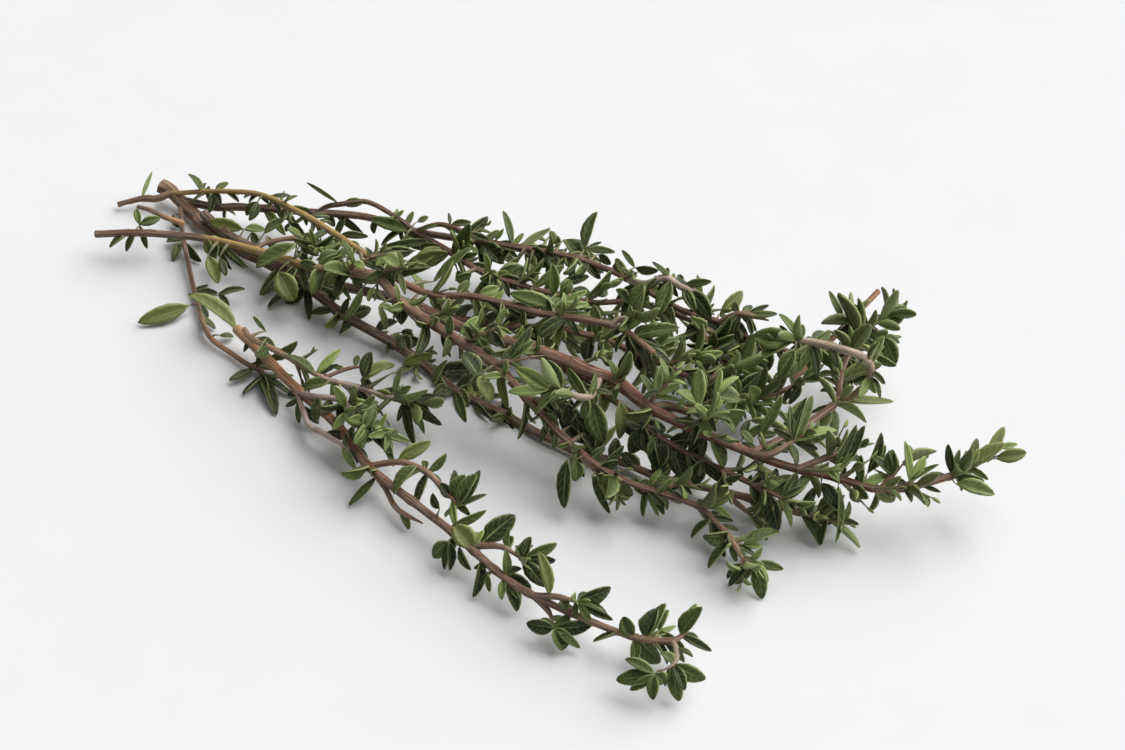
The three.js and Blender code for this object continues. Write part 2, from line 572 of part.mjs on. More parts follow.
function growBundle() {
  for (const sprig of SPRIGS) {
    sprig.leaves = [];
    for (const shoot of sprig.shoots) {
      traceAxis(shoot);
      for (let distance = 0; distance <= shoot.length; distance += STEM_BALL_PITCH) {
        const { place, radius } = along(shoot, distance);
        occupy(place, radius, sprig);
      }
    }
  }
  for (const sprig of SPRIGS) {
    for (const shoot of sprig.shoots) {
      for (const single of shoot.leaves ?? []) {
        keepLeaf(singleLeaf(shoot, single), sprig);
      }
    }
  }
  SPRIGS.forEach((sprig, sprigNumber) => {
    sprig.shoots.forEach((shoot, shootNumber) => {
      for (const wish of wishesOf(shoot, sprigNumber, shootNumber)) {
        const leaf = placeLeaf(along(shoot, wish.distance), wish, sprig);
        if (leaf) {
          keepLeaf(leaf, sprig);
        }
      }
    });
  });
}

// ---- Solids ----
// Everything below the table, which flattens what presses on it.
function belowTable() {
  const box = new THREE.BoxGeometry(...BELOW_TABLE).translate(0, 0, -BELOW_TABLE[2] / 2);
  box.deleteAttribute('normal');
  box.deleteAttribute('uv');
  return geometryToSolid(mergeVertices(box));
}

// One sprig in one body: loose scraps and sealed hollows are left out.
function sprigMesh(sprig, underside) {
  const pieces = [...sprig.shoots.map(stemSolid), ...sprig.leaves.map(leafSolid)];
  const fused = wasm.Manifold.union(pieces).subtract(underside);
  const bodies = fused.decompose().sort((a, b) => b.volume() - a.volume());
  const mesh = bodies[0].getMesh();
  const geometry = new THREE.BufferGeometry();
  geometry.setAttribute('position', new THREE.BufferAttribute(mesh.vertProperties, 3));
  geometry.setIndex(new THREE.BufferAttribute(mesh.triVerts, 1));
  geometry.computeVertexNormals();
  const material = new THREE.MeshStandardMaterial({ color: sprig.colour, roughness: 0.7, metalness: 0 });
  const result = new THREE.Mesh(geometry, material);
  result.name = sprig.name;
  return result;
}

growBundle();
const underside = belowTable();
const group = new THREE.Group();
group.position.set(-MIDDLE[0], -MIDDLE[1], 0);
for (const sprig of SPRIGS) {
  group.add(sprigMesh(sprig, underside));
}

export default group;
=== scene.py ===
import math
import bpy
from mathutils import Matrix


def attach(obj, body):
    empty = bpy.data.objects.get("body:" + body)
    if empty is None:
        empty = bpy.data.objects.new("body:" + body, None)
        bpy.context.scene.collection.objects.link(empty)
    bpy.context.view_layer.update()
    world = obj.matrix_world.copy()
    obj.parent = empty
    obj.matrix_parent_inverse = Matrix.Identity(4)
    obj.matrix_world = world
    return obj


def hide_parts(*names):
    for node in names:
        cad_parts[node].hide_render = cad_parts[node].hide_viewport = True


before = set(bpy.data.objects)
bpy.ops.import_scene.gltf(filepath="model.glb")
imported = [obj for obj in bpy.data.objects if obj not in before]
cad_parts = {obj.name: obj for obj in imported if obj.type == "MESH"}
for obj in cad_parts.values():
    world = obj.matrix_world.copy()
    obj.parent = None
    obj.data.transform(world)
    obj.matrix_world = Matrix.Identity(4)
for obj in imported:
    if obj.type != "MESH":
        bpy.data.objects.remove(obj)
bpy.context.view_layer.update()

from types import SimpleNamespace

import bpy
import numpy as np
from mathutils import Vector

# ---- The view ----
# The bundle lies on a white table under one broad soft light, seen from its front right and from
# above. It is looked at a little right of its middle, where its leafy tips spread.
MM = 0.001
VIEW_AZIMUTH = math.radians(28)
VIEW_ELEVATION = math.radians(38)
VIEW_DISTANCE = 425 * MM
VIEW_AIM = Vector((7.1, 15.7, 0)) * MM
LENS, SENSOR = 85, 36


def paint(code):
    """A colour from its screen code, as the linear values that a material takes."""
    parts = [int(code[i:i + 2], 16) / 255 for i in (1, 3, 5)]
    return (*[((part + 0.055) / 1.055) ** 2.4 if part > 0.04 else part / 12.92 for part in parts], 1)


def show(item):
    bpy.context.scene.collection.objects.link(item)
    return item


def toward_aim(item, place):
    item.location = place
    item.rotation_euler = (place - VIEW_AIM).to_track_quat("Z", "Y").to_euler()
    return item


lens = bpy.data.cameras.new("view")
lens.lens = LENS
lens.sensor_width = SENSOR
view_back = Vector((
    math.sin(VIEW_AZIMUTH) * math.cos(VIEW_ELEVATION),
    -math.cos(VIEW_AZIMUTH) * math.cos(VIEW_ELEVATION),
    math.sin(VIEW_ELEVATION),
))
view_eye = show(bpy.data.objects.new("view", lens))
bpy.context.scene.camera = toward_aim(view_eye, VIEW_AIM + view_back * VIEW_DISTANCE)
bpy.context.scene.view_settings.view_transform = "Standard"

# Soft daylight comes over the table from behind, wide enough to blur every shadow, and a much
# weaker share of it from the front right.
for label, place, width, power, colour in (
    ("daylight", (0.6, 0.9, 1.1), 78, 4.86, "#fffdf9"),
    ("front_light", (0.6, -0.7, 0.9), 40, 0.14, "#f2f6ff"),
):
    lamp = bpy.data.lights.new(label, "SUN")
    lamp.angle = math.radians(width)
    lamp.energy = power
    lamp.color = paint(colour)[:3]
    toward_aim(show(bpy.data.objects.new(label, lamp)), Vector(place))

ROOM_LIGHT = 0.1
room = bpy.data.worlds.new("room")
bpy.context.scene.world = room
room.use_nodes = True
glow = room.node_tree.nodes["Background"].inputs
glow["Color"].default_value = paint("#f4f6f8")
glow["Strength"].default_value = ROOM_LIGHT


# ---- The table ----
# A plain white board, matte, that runs far past the view on every side.
class Wire:
    """A socket of a node tree. Arithmetic adds Math or Vector Math nodes, and node() any other."""

    def __init__(self, tree, socket=None):
        self.tree = tree
        self.socket = socket

    def node(self, kind, settings=None, inputs=None, output=0):
        made = self.tree.nodes.new(kind)
        for name, value in (settings or {}).items():
            setattr(made, name, value)
        for key, value in (inputs or {}).items():
            target = self.pick(made.inputs, key)
            if isinstance(value, Wire):
                self.tree.links.new(value.socket, target)
            else:
                target.default_value = value
        return Wire(self.tree, self.pick(made.outputs, output))

    @staticmethod
    def pick(sockets, key):
        if isinstance(key, int):
            return sockets[key]
        return next(s for s in sockets if s.name == key and not s.is_unavailable)

    def math(self, operation, *values):
        return self.node("ShaderNodeMath", {"operation": operation}, dict(enumerate(values)))

    def vector(self, operation, *values, output=0):
        return self.node("ShaderNodeVectorMath", {"operation": operation}, dict(enumerate(values)),
                         output)

    def parts(self):
        """The x, y and z of a vector."""
        split = self.node("ShaderNodeSeparateXYZ", None, {0: self})
        return [Wire(self.tree, socket) for socket in split.socket.node.outputs]

    def join(self, operation, left, right):
        wires = [v for v in (left, right) if isinstance(v, Wire)]
        vectors = [v for v in wires if v.socket.type == "VECTOR"]
        if not vectors:
            return self.math(operation, left, right)
        if operation == "MULTIPLY" and len(vectors) == 1:
            factor = right if left is vectors[0] else left
            return self.node("ShaderNodeVectorMath", {"operation": "SCALE"}, {0: vectors[0], 3: factor})
        return self.vector(operation, left, right)

    def __add__(self, other):
        return self.join("ADD", self, other)

    __radd__ = __add__

    def __mul__(self, other):
        return self.join("MULTIPLY", self, other)

    __rmul__ = __mul__

    def __sub__(self, other):
        return self.join("SUBTRACT", self, other)

    def __rsub__(self, other):
        return self.join("SUBTRACT", other, self)

    def __truediv__(self, other):
        return self.math("DIVIDE", self, other)

    def __pow__(self, power):
        return self.math("POWER", self, power)

    def mix(self, first, second):
        """Two colours, from the first where this is 0 to the second where it is 1."""
        return self.node("ShaderNodeMix", {"data_type": "RGBA"},
                         {"Factor": self, "A": first, "B": second}, "Result")

    def between(self, low, high):
        """0 below low, 1 above high, and a smooth step between them."""
        return self.node("ShaderNodeMapRange", {"interpolation_type": "SMOOTHSTEP"},
                         {"Value": self, "From Min": low, "From Max": high})


def material_of(name, roughness):
    """A new material: its first wire, and its shader with that roughness."""
    made = bpy.data.materials.new(name)
    made.use_nodes = True
    shader = made.node_tree.nodes["Principled BSDF"]
    shader.inputs["Roughness"].default_value = roughness
    return made, Wire(made.node_tree), shader


def feed(shader, **wires):
    for name, wire in wires.items():
        shader.id_data.links.new(wire.socket, shader.inputs[name.replace("_", " ")])


def noise(start, vector, scale, detail=2, roughness=0.5):
    return start.node("ShaderNodeTexNoise", None,
                      {"Vector": vector, "Scale": scale, "Detail": detail, "Roughness": roughness},
                      "Fac")


def on_object(start):
    """Where a point of a surface lies on its own object."""
    return start.node("ShaderNodeTexCoord", output="Object")


TABLE_SIZE = 8
TABLE_ROUGHNESS = 0.75
TABLE_GRAIN = 60
table_material, start, shader = material_of("white_board", TABLE_ROUGHNESS)
grain = noise(start, on_object(start), TABLE_GRAIN, 3)
feed(shader, Base_Color=grain.mix(paint("#dddfe3"), paint("#e1e3e7")))
half = TABLE_SIZE / 2
corners = [(-half, -half, 0), (half, -half, 0), (half, half, 0), (-half, half, 0)]
table_mesh = bpy.data.meshes.new("table")
table_mesh.from_pydata(corners, [], [(0, 1, 2, 3)])
table_mesh.materials.append(table_material)
show(bpy.data.objects.new("table", table_mesh))


# ---- How the bundle grew ----
# Each sprig is a stem with side shoots. Leaves stand in opposite pairs, each pair across the last,
# with a bud of small leaves in each angle and a tuft at each growing tip. Sizes are in millimetres.
MIDDLE = np.array([0.9, -1.7, 0])
UP = np.array([0.0, 0.0, 1.0])
CURVE_STEPS = 12
STEEP = 0.95
# Leaves that grow by rule: how they stand on their stem in degrees, and their size and curl.
SLENDERNESS = 0.36
WIDTH_SPREAD = (0.85, 1.15)
PAIR_PITCH, PAIR_TURN, PAIR_LENGTH = (48, 70), (-18, 18), (0.8, 1.1)
TUFT_PITCH, TUFT_TURN, TUFT_LENGTH = (22, 52), (20, 70), (0.5, 0.75)
TIP_PITCH, TIP_LENGTH = (12, 62), (0.6, 0.95)
TUFT_OFFSET = 1.2
TIP_SETBACK = 0.4
TIP_SPACING = 0.6
QUARTER_TURN, FULL_TURN = 90, 360
OPPOSITE = (0, 180)
GOLDEN_ANGLE = 137.5
PAIR_YOUTH, TUFT_YOUTH = 0.1, 0.4
TIP_YOUTH, TIP_YOUTH_RISE = 0.35, 0.5
CURL, SEEN_CURL = (0.02, 0.2), (-0.06, 0.16)
SEEN_LIFT = 0.8
LOW_TIP = 1
LEAST_LEVEL = 0.3
# The balls that stand for what has grown, and how crowded a new leaf may be.
STEM_BALL_PITCH = 1
BLADE_REACH = 0.55
BALL_PARTS = (0.25, 0.4, 0.55, 0.7, 0.85, 1)
ROOT_PART = 0.4
MARGIN_PART, LEAST_MARGIN = 0.35, 0.4
TIP_NARROWING = 2.4
SEARCH_REACH, SEARCH_MARGIN = 1.2, 3
MOST_BALLS = 80000
SPRIG_GAP = 0.25
TABLE_COST = 3
MOST_CROWDED, MOST_HIDDEN = 4, 14
TRIES = 7
AIM_TURN, AIM_LIFT = 47, 9
SHORTENED = 0.6
# Stalks of tufts, and the leaves that fill up a tuft from below.
BUD_GIRTH = (0.8, 0.5)
LEAST_STALK, STALK_RISE = 0.8, 0.3
FULL_TUFT = 2
OPEN_END, OPEN_DEPTH = 52, 0.35
UNDER_TURN = (35, 80)
UNDER_DIP = (0.1, 0.6)
UNDER_LENGTH = (0.45, 0.82)
UNDER_SHIFT = (-3, 3)
# The leaves below a tuft take only the darkest tones: painted shade for the shadow under the tuft.
UNDER_SHADE_TONE = 0.25
LEAST_LEAF, MOST_LEAF = 5, 7
# The numbers that the spread of shapes and looks is worked out from.
WORD = 0xFFFFFFFF
HASH_START = 0x2545F491
HASH_STEPS = (0x85EBCA6B, 0xC2B2AE35)
TUFT_KEY, FILL_KEY = 41, 31

# A sprig has the share of its rule-grown leaves that is kept (fill), how full its buds are (lush)
# and how many hidden leaves stand below each one that is seen (depth). A shoot has the route of its
# axis, its girth at both ends or at distances along it (girths), the distances of its leaf pairs
# (nodes), the length of a full leaf, the small leaves in each angle (tuft), the leaves at its tip,
# and the colours of its bark from distances on. Woody shoots are the stump's.
SPRIGS = [
  dict(
    name="woody_clump", fill=0.4, lush=0.45, depth=3.8,
    shoots=[
      # The stump that its five stems grew from, and a dry twig beside it.
      dict(route=[[-77, 25, 3], [-75, 25, 2.5], [-70, 23, 1.6], [-64, 20, 1.4]], girth=[2.5, 2.1],
        bark=[[0, "brown"]], woody=1),
      dict(route=[[-74, 24, 3], [-76, 22, 2.5], [-79, 21, 2], [-82, 19, 1]], girth=[1.3, 0.8],
        bark=[[0, "brown"]], woody=1),
      # The lowest stem, which carries the bundle on the table.
      dict(route=[[-67, 21, 1.5], [-62, 19, 1.5], [-56, 17, 1.5], [-47, 15, 2], [-37, 12, 2],
        [-30, 9, 2], [-21, 7, 1.8], [-13, 5, 1.2], [-5, 2, 0.5], [6, 0, 0.5], [13, -2, 1],
        [21, -3, 1], [27, -2, 1], [34, -3, 1.5], [44, -2, 2], [50, -2, 2.5], [58, -2, 3],
        [62, -2, 3.5]], girth=[1.9, 1],
        bark=[[0, "brown"], [18, "umber"], [60, "umber"], [90, "wine"], [125, "pinkish"]],
        nodes=[22, 38, 55, 75, 90, 104, 119, 127], leaf=7, tuft=1, tip=5),
      dict(route=[[44, -2, 2], [47, -4, 2.5], [51, -6, 2.5]], girth=[0.9, 0.8],
        bark=[[0, "pinkish"]],
        leaf=6, tip=5),
      # The dark stem along the back.
      dict(route=[[-72, 24, 2.2], [-65, 24, 3], [-60, 25, 4], [-48, 28, 5], [-38, 30, 6],
        [-28, 29, 7], [-17, 30, 8], [-2, 32, 9], [6, 32, 9], [11, 31, 9], [21, 29, 8],
        [28, 30, 7], [36, 29, 6], [42, 30, 6]], girth=[1.4, 0.8],
        bark=[[0, "umber"], [40, "plum"], [100, "wine"]],
        nodes=[17, 40, 54, 59, 64, 69, 74, 84, 88, 93, 97, 104, 109], leaf=7, tuft=1, tip=5,
        fill=0.25, lush=0.3),
      dict(route=[[-28, 29, 7], [-21, 27, 7], [-12, 24, 7], [-2, 24, 7], [7, 25, 7], [13, 28, 7],
        [22, 29, 6.5], [32, 27, 6]], girth=[1, 0.8],
        bark=[[0, "plum"], [40, "wine"]],
        nodes=[9, 17, 23, 29, 35, 41, 47, 55], leaf=7, tuft=1, tip=5,
        fill=0.8, lush=0.8),
      # Two thin twigs that arch off it and come back.
      dict(route=[[-47, 28, 5], [-44, 27, 8], [-41, 27, 9.5], [-37, 29, 10], [-31, 29, 8.5],
        [-28, 29, 7]], girth=[0.9, 0.8],
        bark=[[0, "umber"]]),
      dict(route=[[-28, 29, 7], [-23, 29, 10], [-18, 29, 10], [-15, 30, 8.4]], girth=[0.8, 0.8],
        bark=[[0, "wine"]]),
      # A young shoot that bends over and hangs its leaves.
      dict(route=[[11, 31, 9], [15, 28, 11.5], [17, 27, 13], [19, 28, 14], [21, 28, 13.5],
        [24, 29, 12]], girth=[1, 1.3],
        bark=[[0, "lilac"]]),
      dict(route=[[25, 29, 8], [27, 26, 7], [30, 24, 6], [32, 23, 5], [35, 20, 4.5]],
        girth=[1, 0.8],
        bark=[[0, "wine"]],
        nodes=[5, 10], leaf=7, tuft=1, tip=5, fill=0.9, lush=0.9),
      dict(route=[[28, 30, 7], [30, 30, 9], [32, 30, 10], [36, 31, 9.5]], girth=[1, 0.9],
        bark=[[0, "pinkish"]],
        nodes=[6], leaf=6, tip=5, fill=0, lush=0),
      # The yellowish stem on top.
      dict(route=[[-74, 24, 3], [-64, 25, 6], [-57, 26, 7], [-50, 24, 8], [-42, 21, 9],
        [-30, 16, 10], [-20, 12, 10], [-14, 12, 9.5], [-8, 14, 10], [5, 14, 11], [11, 15, 11.5],
        [18, 15, 12], [25, 12, 12]], girth=[1.2, 1.2],
        bark=[[0, "ochre"], [46, "ochre"], [54, "rust"], [64, "wine"], [88, "wine"], [100, "pinkish"]],
        girths=[[0, 0.8], [20, 0.9], [30, 1.1], [90, 1.1], [104, 0.9]],
        nodes=[24, 46, 63, 75, 84], leaf=6.5, tuft=1),
      dict(route=[[16, 15, 12], [17, 16, 13], [20, 16, 14.5]], girth=[1, 0.8],
        bark=[[0, "beige"]],
        leaf=7, tip=6),
      # The thin stem that crosses under the others toward the front.
      dict(route=[[-71, 22, 2], [-68, 18, 2], [-63, 12, 1.8], [-55, 3, 1.4], [-47, -5, 1.2],
        [-41, -7.2, 1], [-37.5, -8.3, 1], [-34.3, -8.8, 0.9], [-33.3, -10, 0.8]], girth=[0.9, 0.8],
        bark=[[0, "umber"], [28, "plum"], [40, "tan"], [50, "wine"]],
        nodes=[50], leaf=6, fill=0, lush=0),
      # A dry stick among the cut ends.
      dict(route=[[-74, 14.3, 6], [-71.5, 14.3, 6.2], [-68.5, 14.4, 5.6], [-65.5, 15.5, 4.6]],
        girth=[0.7, 1], bark=[[0, "umber"], [4, "brown"], [7, "tan"]]),
    ],
),
  dict(
    name="long_sprig", fill=0.3, lush=0.4, depth=3.8,
    shoots=[
      dict(route=[[-77, 6, 4.5], [-69, 9, 5.5], [-58, 12, 6], [-46, 12, 7], [-37, 11, 8],
        [-30, 10, 10], [-23, 9, 12], [-16, 4, 13], [-9, 1, 13.5], [-1, -2, 14], [6, -4, 13.5],
        [13, -7, 12], [18, -8, 9], [24, -10, 7.5], [29, -11, 6.5], [34, -10.8, 5.7], [40.5, -9.9, 5],
        [43.7, -9.7, 4.6], [46, -10.8, 4.4], [49.5, -12.8, 4.2], [52, -14.8, 4], [54.6, -17.3, 4]],
        girth=[1.2, 1],
        girths=[[0, 1.2], [35, 1.2], [52, 1.5], [88, 1.5], [104, 1.1], [115, 0.9], [134, 0.8],
        [145, 0.7]],
        bark=[[0, "plum"], [18, "plum"], [22, "ochre"], [36, "ochre"], [48, "dusty"],
          [90, "wine"], [100, "russet"], [128, "wine"], [140, "pinkish"]],
        nodes=[37, 49, 56, 65, 72, 78, 84, 90, 96, 105, 114, 121, 128, 135, 141],
        leaf=7, tuft=1, tip=2),
      dict(route=[[-30, 10, 10], [-28, 10, 12], [-26, 12, 13]], girth=[0.9, 0.8], leaf=5.5, tip=5),
      dict(route=[[-23, 9, 12], [-21, 9, 14], [-19, 9, 15]], girth=[0.9, 0.8], leaf=5.5, tip=5),
      dict(route=[[6, -4, 13.5], [8, -4, 15], [11, -2, 15.5]], girth=[1, 0.8], leaf=6, tip=5),
      dict(route=[[24, -10, 7.5], [27, -11, 6], [30, -12, 4.5]], girth=[1, 0.8], leaf=7, tip=5),
      dict(route=[[37, -10, 5], [38, -9, 6], [41, -8, 6.5]], girth=[1, 0.8], leaf=6, tip=5),
      dict(route=[[-1, -2, 14], [1, -1, 15.5], [3, 0, 16.5]], girth=[0.9, 0.8], leaf=6, tip=6),
      # A thin twig that leans back over the others.
      dict(route=[[-49, 12.2, 6.7], [-48, 14.5, 7], [-45, 16.5, 7.6], [-42.7, 16.6, 8],
        [-38.3, 15.3, 8.5], [-35.7, 15.1, 8.5]], girth=[0.8, 0.7],
        bark=[[0, "plum"], [5, "pinkish"]],
        nodes=[9, 12], leaf=4.5, tuft=1, tip=5, fill=0.7, lush=0.8),
    ],
),
  dict(
    name="front_sprig", fill=0.1, lush=0, depth=1.3,
    shoots=[
      dict(route=[[-42, -4, 3.5], [-34, -8, 3.5], [-25, -13, 4], [-14, -18, 4], [-5, -24, 4],
        [7, -29, 4.5], [15, -32, 4.5], [24, -36, 4.5], [31, -38, 4.5], [45, -39, 4.5],
        [52, -38, 5], [54, -36, 6], [54, -35, 7]], girth=[1.6, 0.9],
        bark=[[0, "tan"], [30, "rust"], [50, "wine"], [100, "pinkish"]],
        nodes=[10, 20, 31, 42, 53, 63, 68, 73, 80, 87, 97, 102], leaf=7, tuft=1, tip=5),
      dict(route=[[-24, -14, 4], [-20, -15, 5.5], [-15, -15, 6.5], [-10, -18, 7], [-6, -19, 7]],
        girth=[1, 0.8], bark=[[0, "wine"], [10, "lilac"]], nodes=[10, 14], leaf=6.5, tuft=1, tip=6,
        fill=0.6, lush=0.8),
      dict(route=[[-24, -14, 4], [-21, -17, 3.4], [-18.3, -19.5, 3.5], [-15.4, -20.5, 4],
        [-12.3, -21.6, 4.4], [-9.3, -22.7, 4.6]], girth=[0.9, 0.8],
        bark=[[0, "wine"], [8, "lilac"]], nodes=[10], leaf=6, tip=5),
      dict(route=[[-5, -24, 4], [0, -23, 6], [5, -24, 7], [9, -26, 7], [13, -28, 6.5]],
        girth=[1, 0.8], nodes=[11, 15], leaf=6.5, tuft=1, tip=6),
      dict(route=[[-5, -24, 4], [-1, -26, 3], [3, -29, 2.5], [8, -30, 2.5]], girth=[0.9, 0.8],
        leaf=6, tip=5),
      dict(route=[[18, -33, 4.5], [23, -33, 6.5], [27, -34, 6.5]], girth=[1, 0.8], leaf=6, tip=6),
      dict(route=[[31, -38, 4.5], [34, -39, 3.5], [36, -41, 3]], girth=[1, 0.8], leaf=6.5, tip=6),
      dict(route=[[31, -38, 4.5], [35, -38, 6], [39, -38, 6.5]], girth=[1, 0.8], leaf=6, tip=5),
      dict(route=[[52.5, -37.5, 5], [54, -39, 5.5], [55, -41, 5.5], [55, -42.5, 5.5], [54, -43.5, 5]],
        girth=[0.8, 0.7], bark=[[0, "pinkish"], [3, "beige"]],
        nodes=[5], leaf=6.5, tuft=1, tip=6),
    ],
),
  dict(
    name="front_side_sprig", fill=0.2, lush=0.2, depth=1.8,
    shoots=[
      dict(route=[[-39, -6, 5.8], [-36, -8, 6.2], [-29, -9, 6], [-21, -11, 6], [-16, -10, 5.5],
        [-8, -9, 5], [-4, -8, 5]], girth=[0.9, 0.8],
        bark=[[0, "dusty"], [14, "pinkish"], [24, "lilac"]],
        nodes=[6, 13, 21, 26, 31], leaf=7, tuft=1, tip=5),
      dict(route=[[-21, -11, 6], [-18, -8, 7], [-15, -6, 7]], girth=[0.7, 0.5], leaf=6, tip=5),
    ],
),
  dict(
    name="right_sprig", fill=0.2, lush=0.45, depth=3.7,
    shoots=[
      dict(route=[[-34, 12, 5], [-20, 11, 7], [-5, 7, 9], [8, 5, 11], [18, 3, 12], [24, 2, 12.5],
        [31, -1, 12.5], [39, -2, 12], [49, -2, 11], [54, -1, 10], [60, 1, 9], [66, 2, 8.5],
        [70, 4, 8.5], [75, 9, 9], [79, 14, 10]], girth=[1.9, 0.9],
        girths=[[0, 1.5], [36, 1.8], [48, 2.4], [58, 2.3], [65, 1.8], [73, 1.5], [90, 1.2], [105, 1.1],
        [121, 0.9]],
        bark=[[0, "umber"], [30, "wine"], [60, "russet"], [98, "russet"], [108, "wine"],
        [116, "pinkish"]],
        nodes=[30, 37, 43, 51, 59, 67, 76, 85, 92, 98, 103, 108, 115], leaf=7, tuft=1, tip=6),
      # Leafy side shoots on its upper side.
      dict(route=[[31, -1, 12.5], [31, 0, 14], [32, 1, 15.5]], girth=[0.9, 0.8], leaf=6.5, tip=6),
      dict(route=[[39, -2, 12], [40, -2, 14], [41, -2, 15.5]], girth=[0.9, 0.8], leaf=6, tip=6),
      dict(route=[[67, 2, 8.5], [68, 4, 10], [69, 6, 11.5]], girth=[0.9, 0.8], leaf=7, tip=6),
      # The shoot that crosses below it, and the blunt one that was cut.
      dict(route=[[12, 4, 10.6], [21, 1, 10.8], [27, -1, 10.6], [31, -2.5, 10], [36, -3.5, 9],
        [44, -4, 8], [50, -5, 8], [56, -6, 8]],
        girth=[1, 0.8],
        bark=[[0, "wine"]],
        nodes=[34, 40], leaf=6.5, tuft=1, tip=5),
      dict(route=[[31, -1, 12.5], [33, 0, 13], [37, 1, 12.5]], girth=[1.3, 1.3],
        bark=[[0, "dusty"]]),
      # A young shoot that turns back toward the cut ends.
      dict(route=[[21, 2, 12.3], [22, -2, 13.5], [22.5, -4.5, 14], [21, -6, 14.5], [18, -6, 15]],
        girth=[1, 1.1],
        bark=[[0, "beige"]],
        leaf=7, tip=6),
      dict(route=[[48, -2, 11], [51, -2, 12], [54, 2, 13.5]], girth=[1, 1], leaf=7, tip=5),
      dict(route=[[55, -1, 10], [58, 2, 11], [61, 6, 11]], girth=[1, 0.9], nodes=[5], leaf=7,
        tuft=1, tip=5),
      # The branch that rises at the far right, its hooked shoot and a bare stiff twig.
      dict(route=[[48, -2, 11], [50, 6, 9], [52, 13, 8.5], [53, 19, 8], [52, 22, 9], [51, 27, 10],
        [51, 33, 11], [53, 37, 12]], girth=[1.2, 0.9],
        bark=[[0, "wine"], [36, "plum"]],
        nodes=[9, 20, 26, 31, 36], leaf=7, tuft=1, tip=5, fill=0.5, lush=0.9),
      dict(route=[[53, 19, 8], [55, 20, 9], [57, 21, 12], [57, 21, 15], [56, 20, 17], [54, 19, 18],
        [48, 19, 17.5], [44, 18, 17]], girth=[1.1, 1.3],
        bark=[[0, "pinkish"], [10, "beige"]],
        nodes=[9], leaf=6, tuft=1, tip=5),
      dict(route=[[44, 23, 6.3], [45, 26, 7], [46, 33, 8], [48, 47, 9]],
        girth=[1, 0.9],
        bark=[[0, "rust"]]),
      # The hidden part of the thick stem, from among the cut ends.
      dict(route=[[-65, 20.6, 3.6], [-58, 17.4, 3.7], [-50, 15.2, 4.1], [-42, 13.3, 4.6], [-34, 12, 5]],
        girth=[1.6, 1.5], bark=[[0, "umber"]]),
    ],
),
  dict(
    name="mid_sprig", fill=0.9, lush=1, depth=4.2,
    shoots=[
      dict(route=[[-19, 13, 6], [-13, 12, 6], [-6, 13, 6], [-2, 14, 6], [5, 17, 6.5], [11, 17, 7],
        [16, 17, 7], [23, 16, 7], [32, 15, 6.5], [40, 14, 6.5]], girth=[1.2, 0.8],
        bark=[[0, "wine"]],
        nodes=[11, 18, 25, 32, 41, 46, 52, 57], leaf=7, tuft=1, tip=6),
      dict(route=[[23, 16, 7], [26, 15, 8.5], [29, 16, 9.5]], girth=[0.9, 0.8], leaf=6.5, tip=5),
      dict(route=[[32, 15, 6.5], [34, 16, 8], [36, 19, 8.5]], girth=[0.9, 0.8], leaf=6.5, tip=5),
      dict(route=[[36, 14.5, 6.5], [41, 15, 7], [45, 18, 8], [47, 21, 9.5]], girth=[0.9, 0.8],
        nodes=[5], leaf=5.5, tip=5),
    ],
),
]

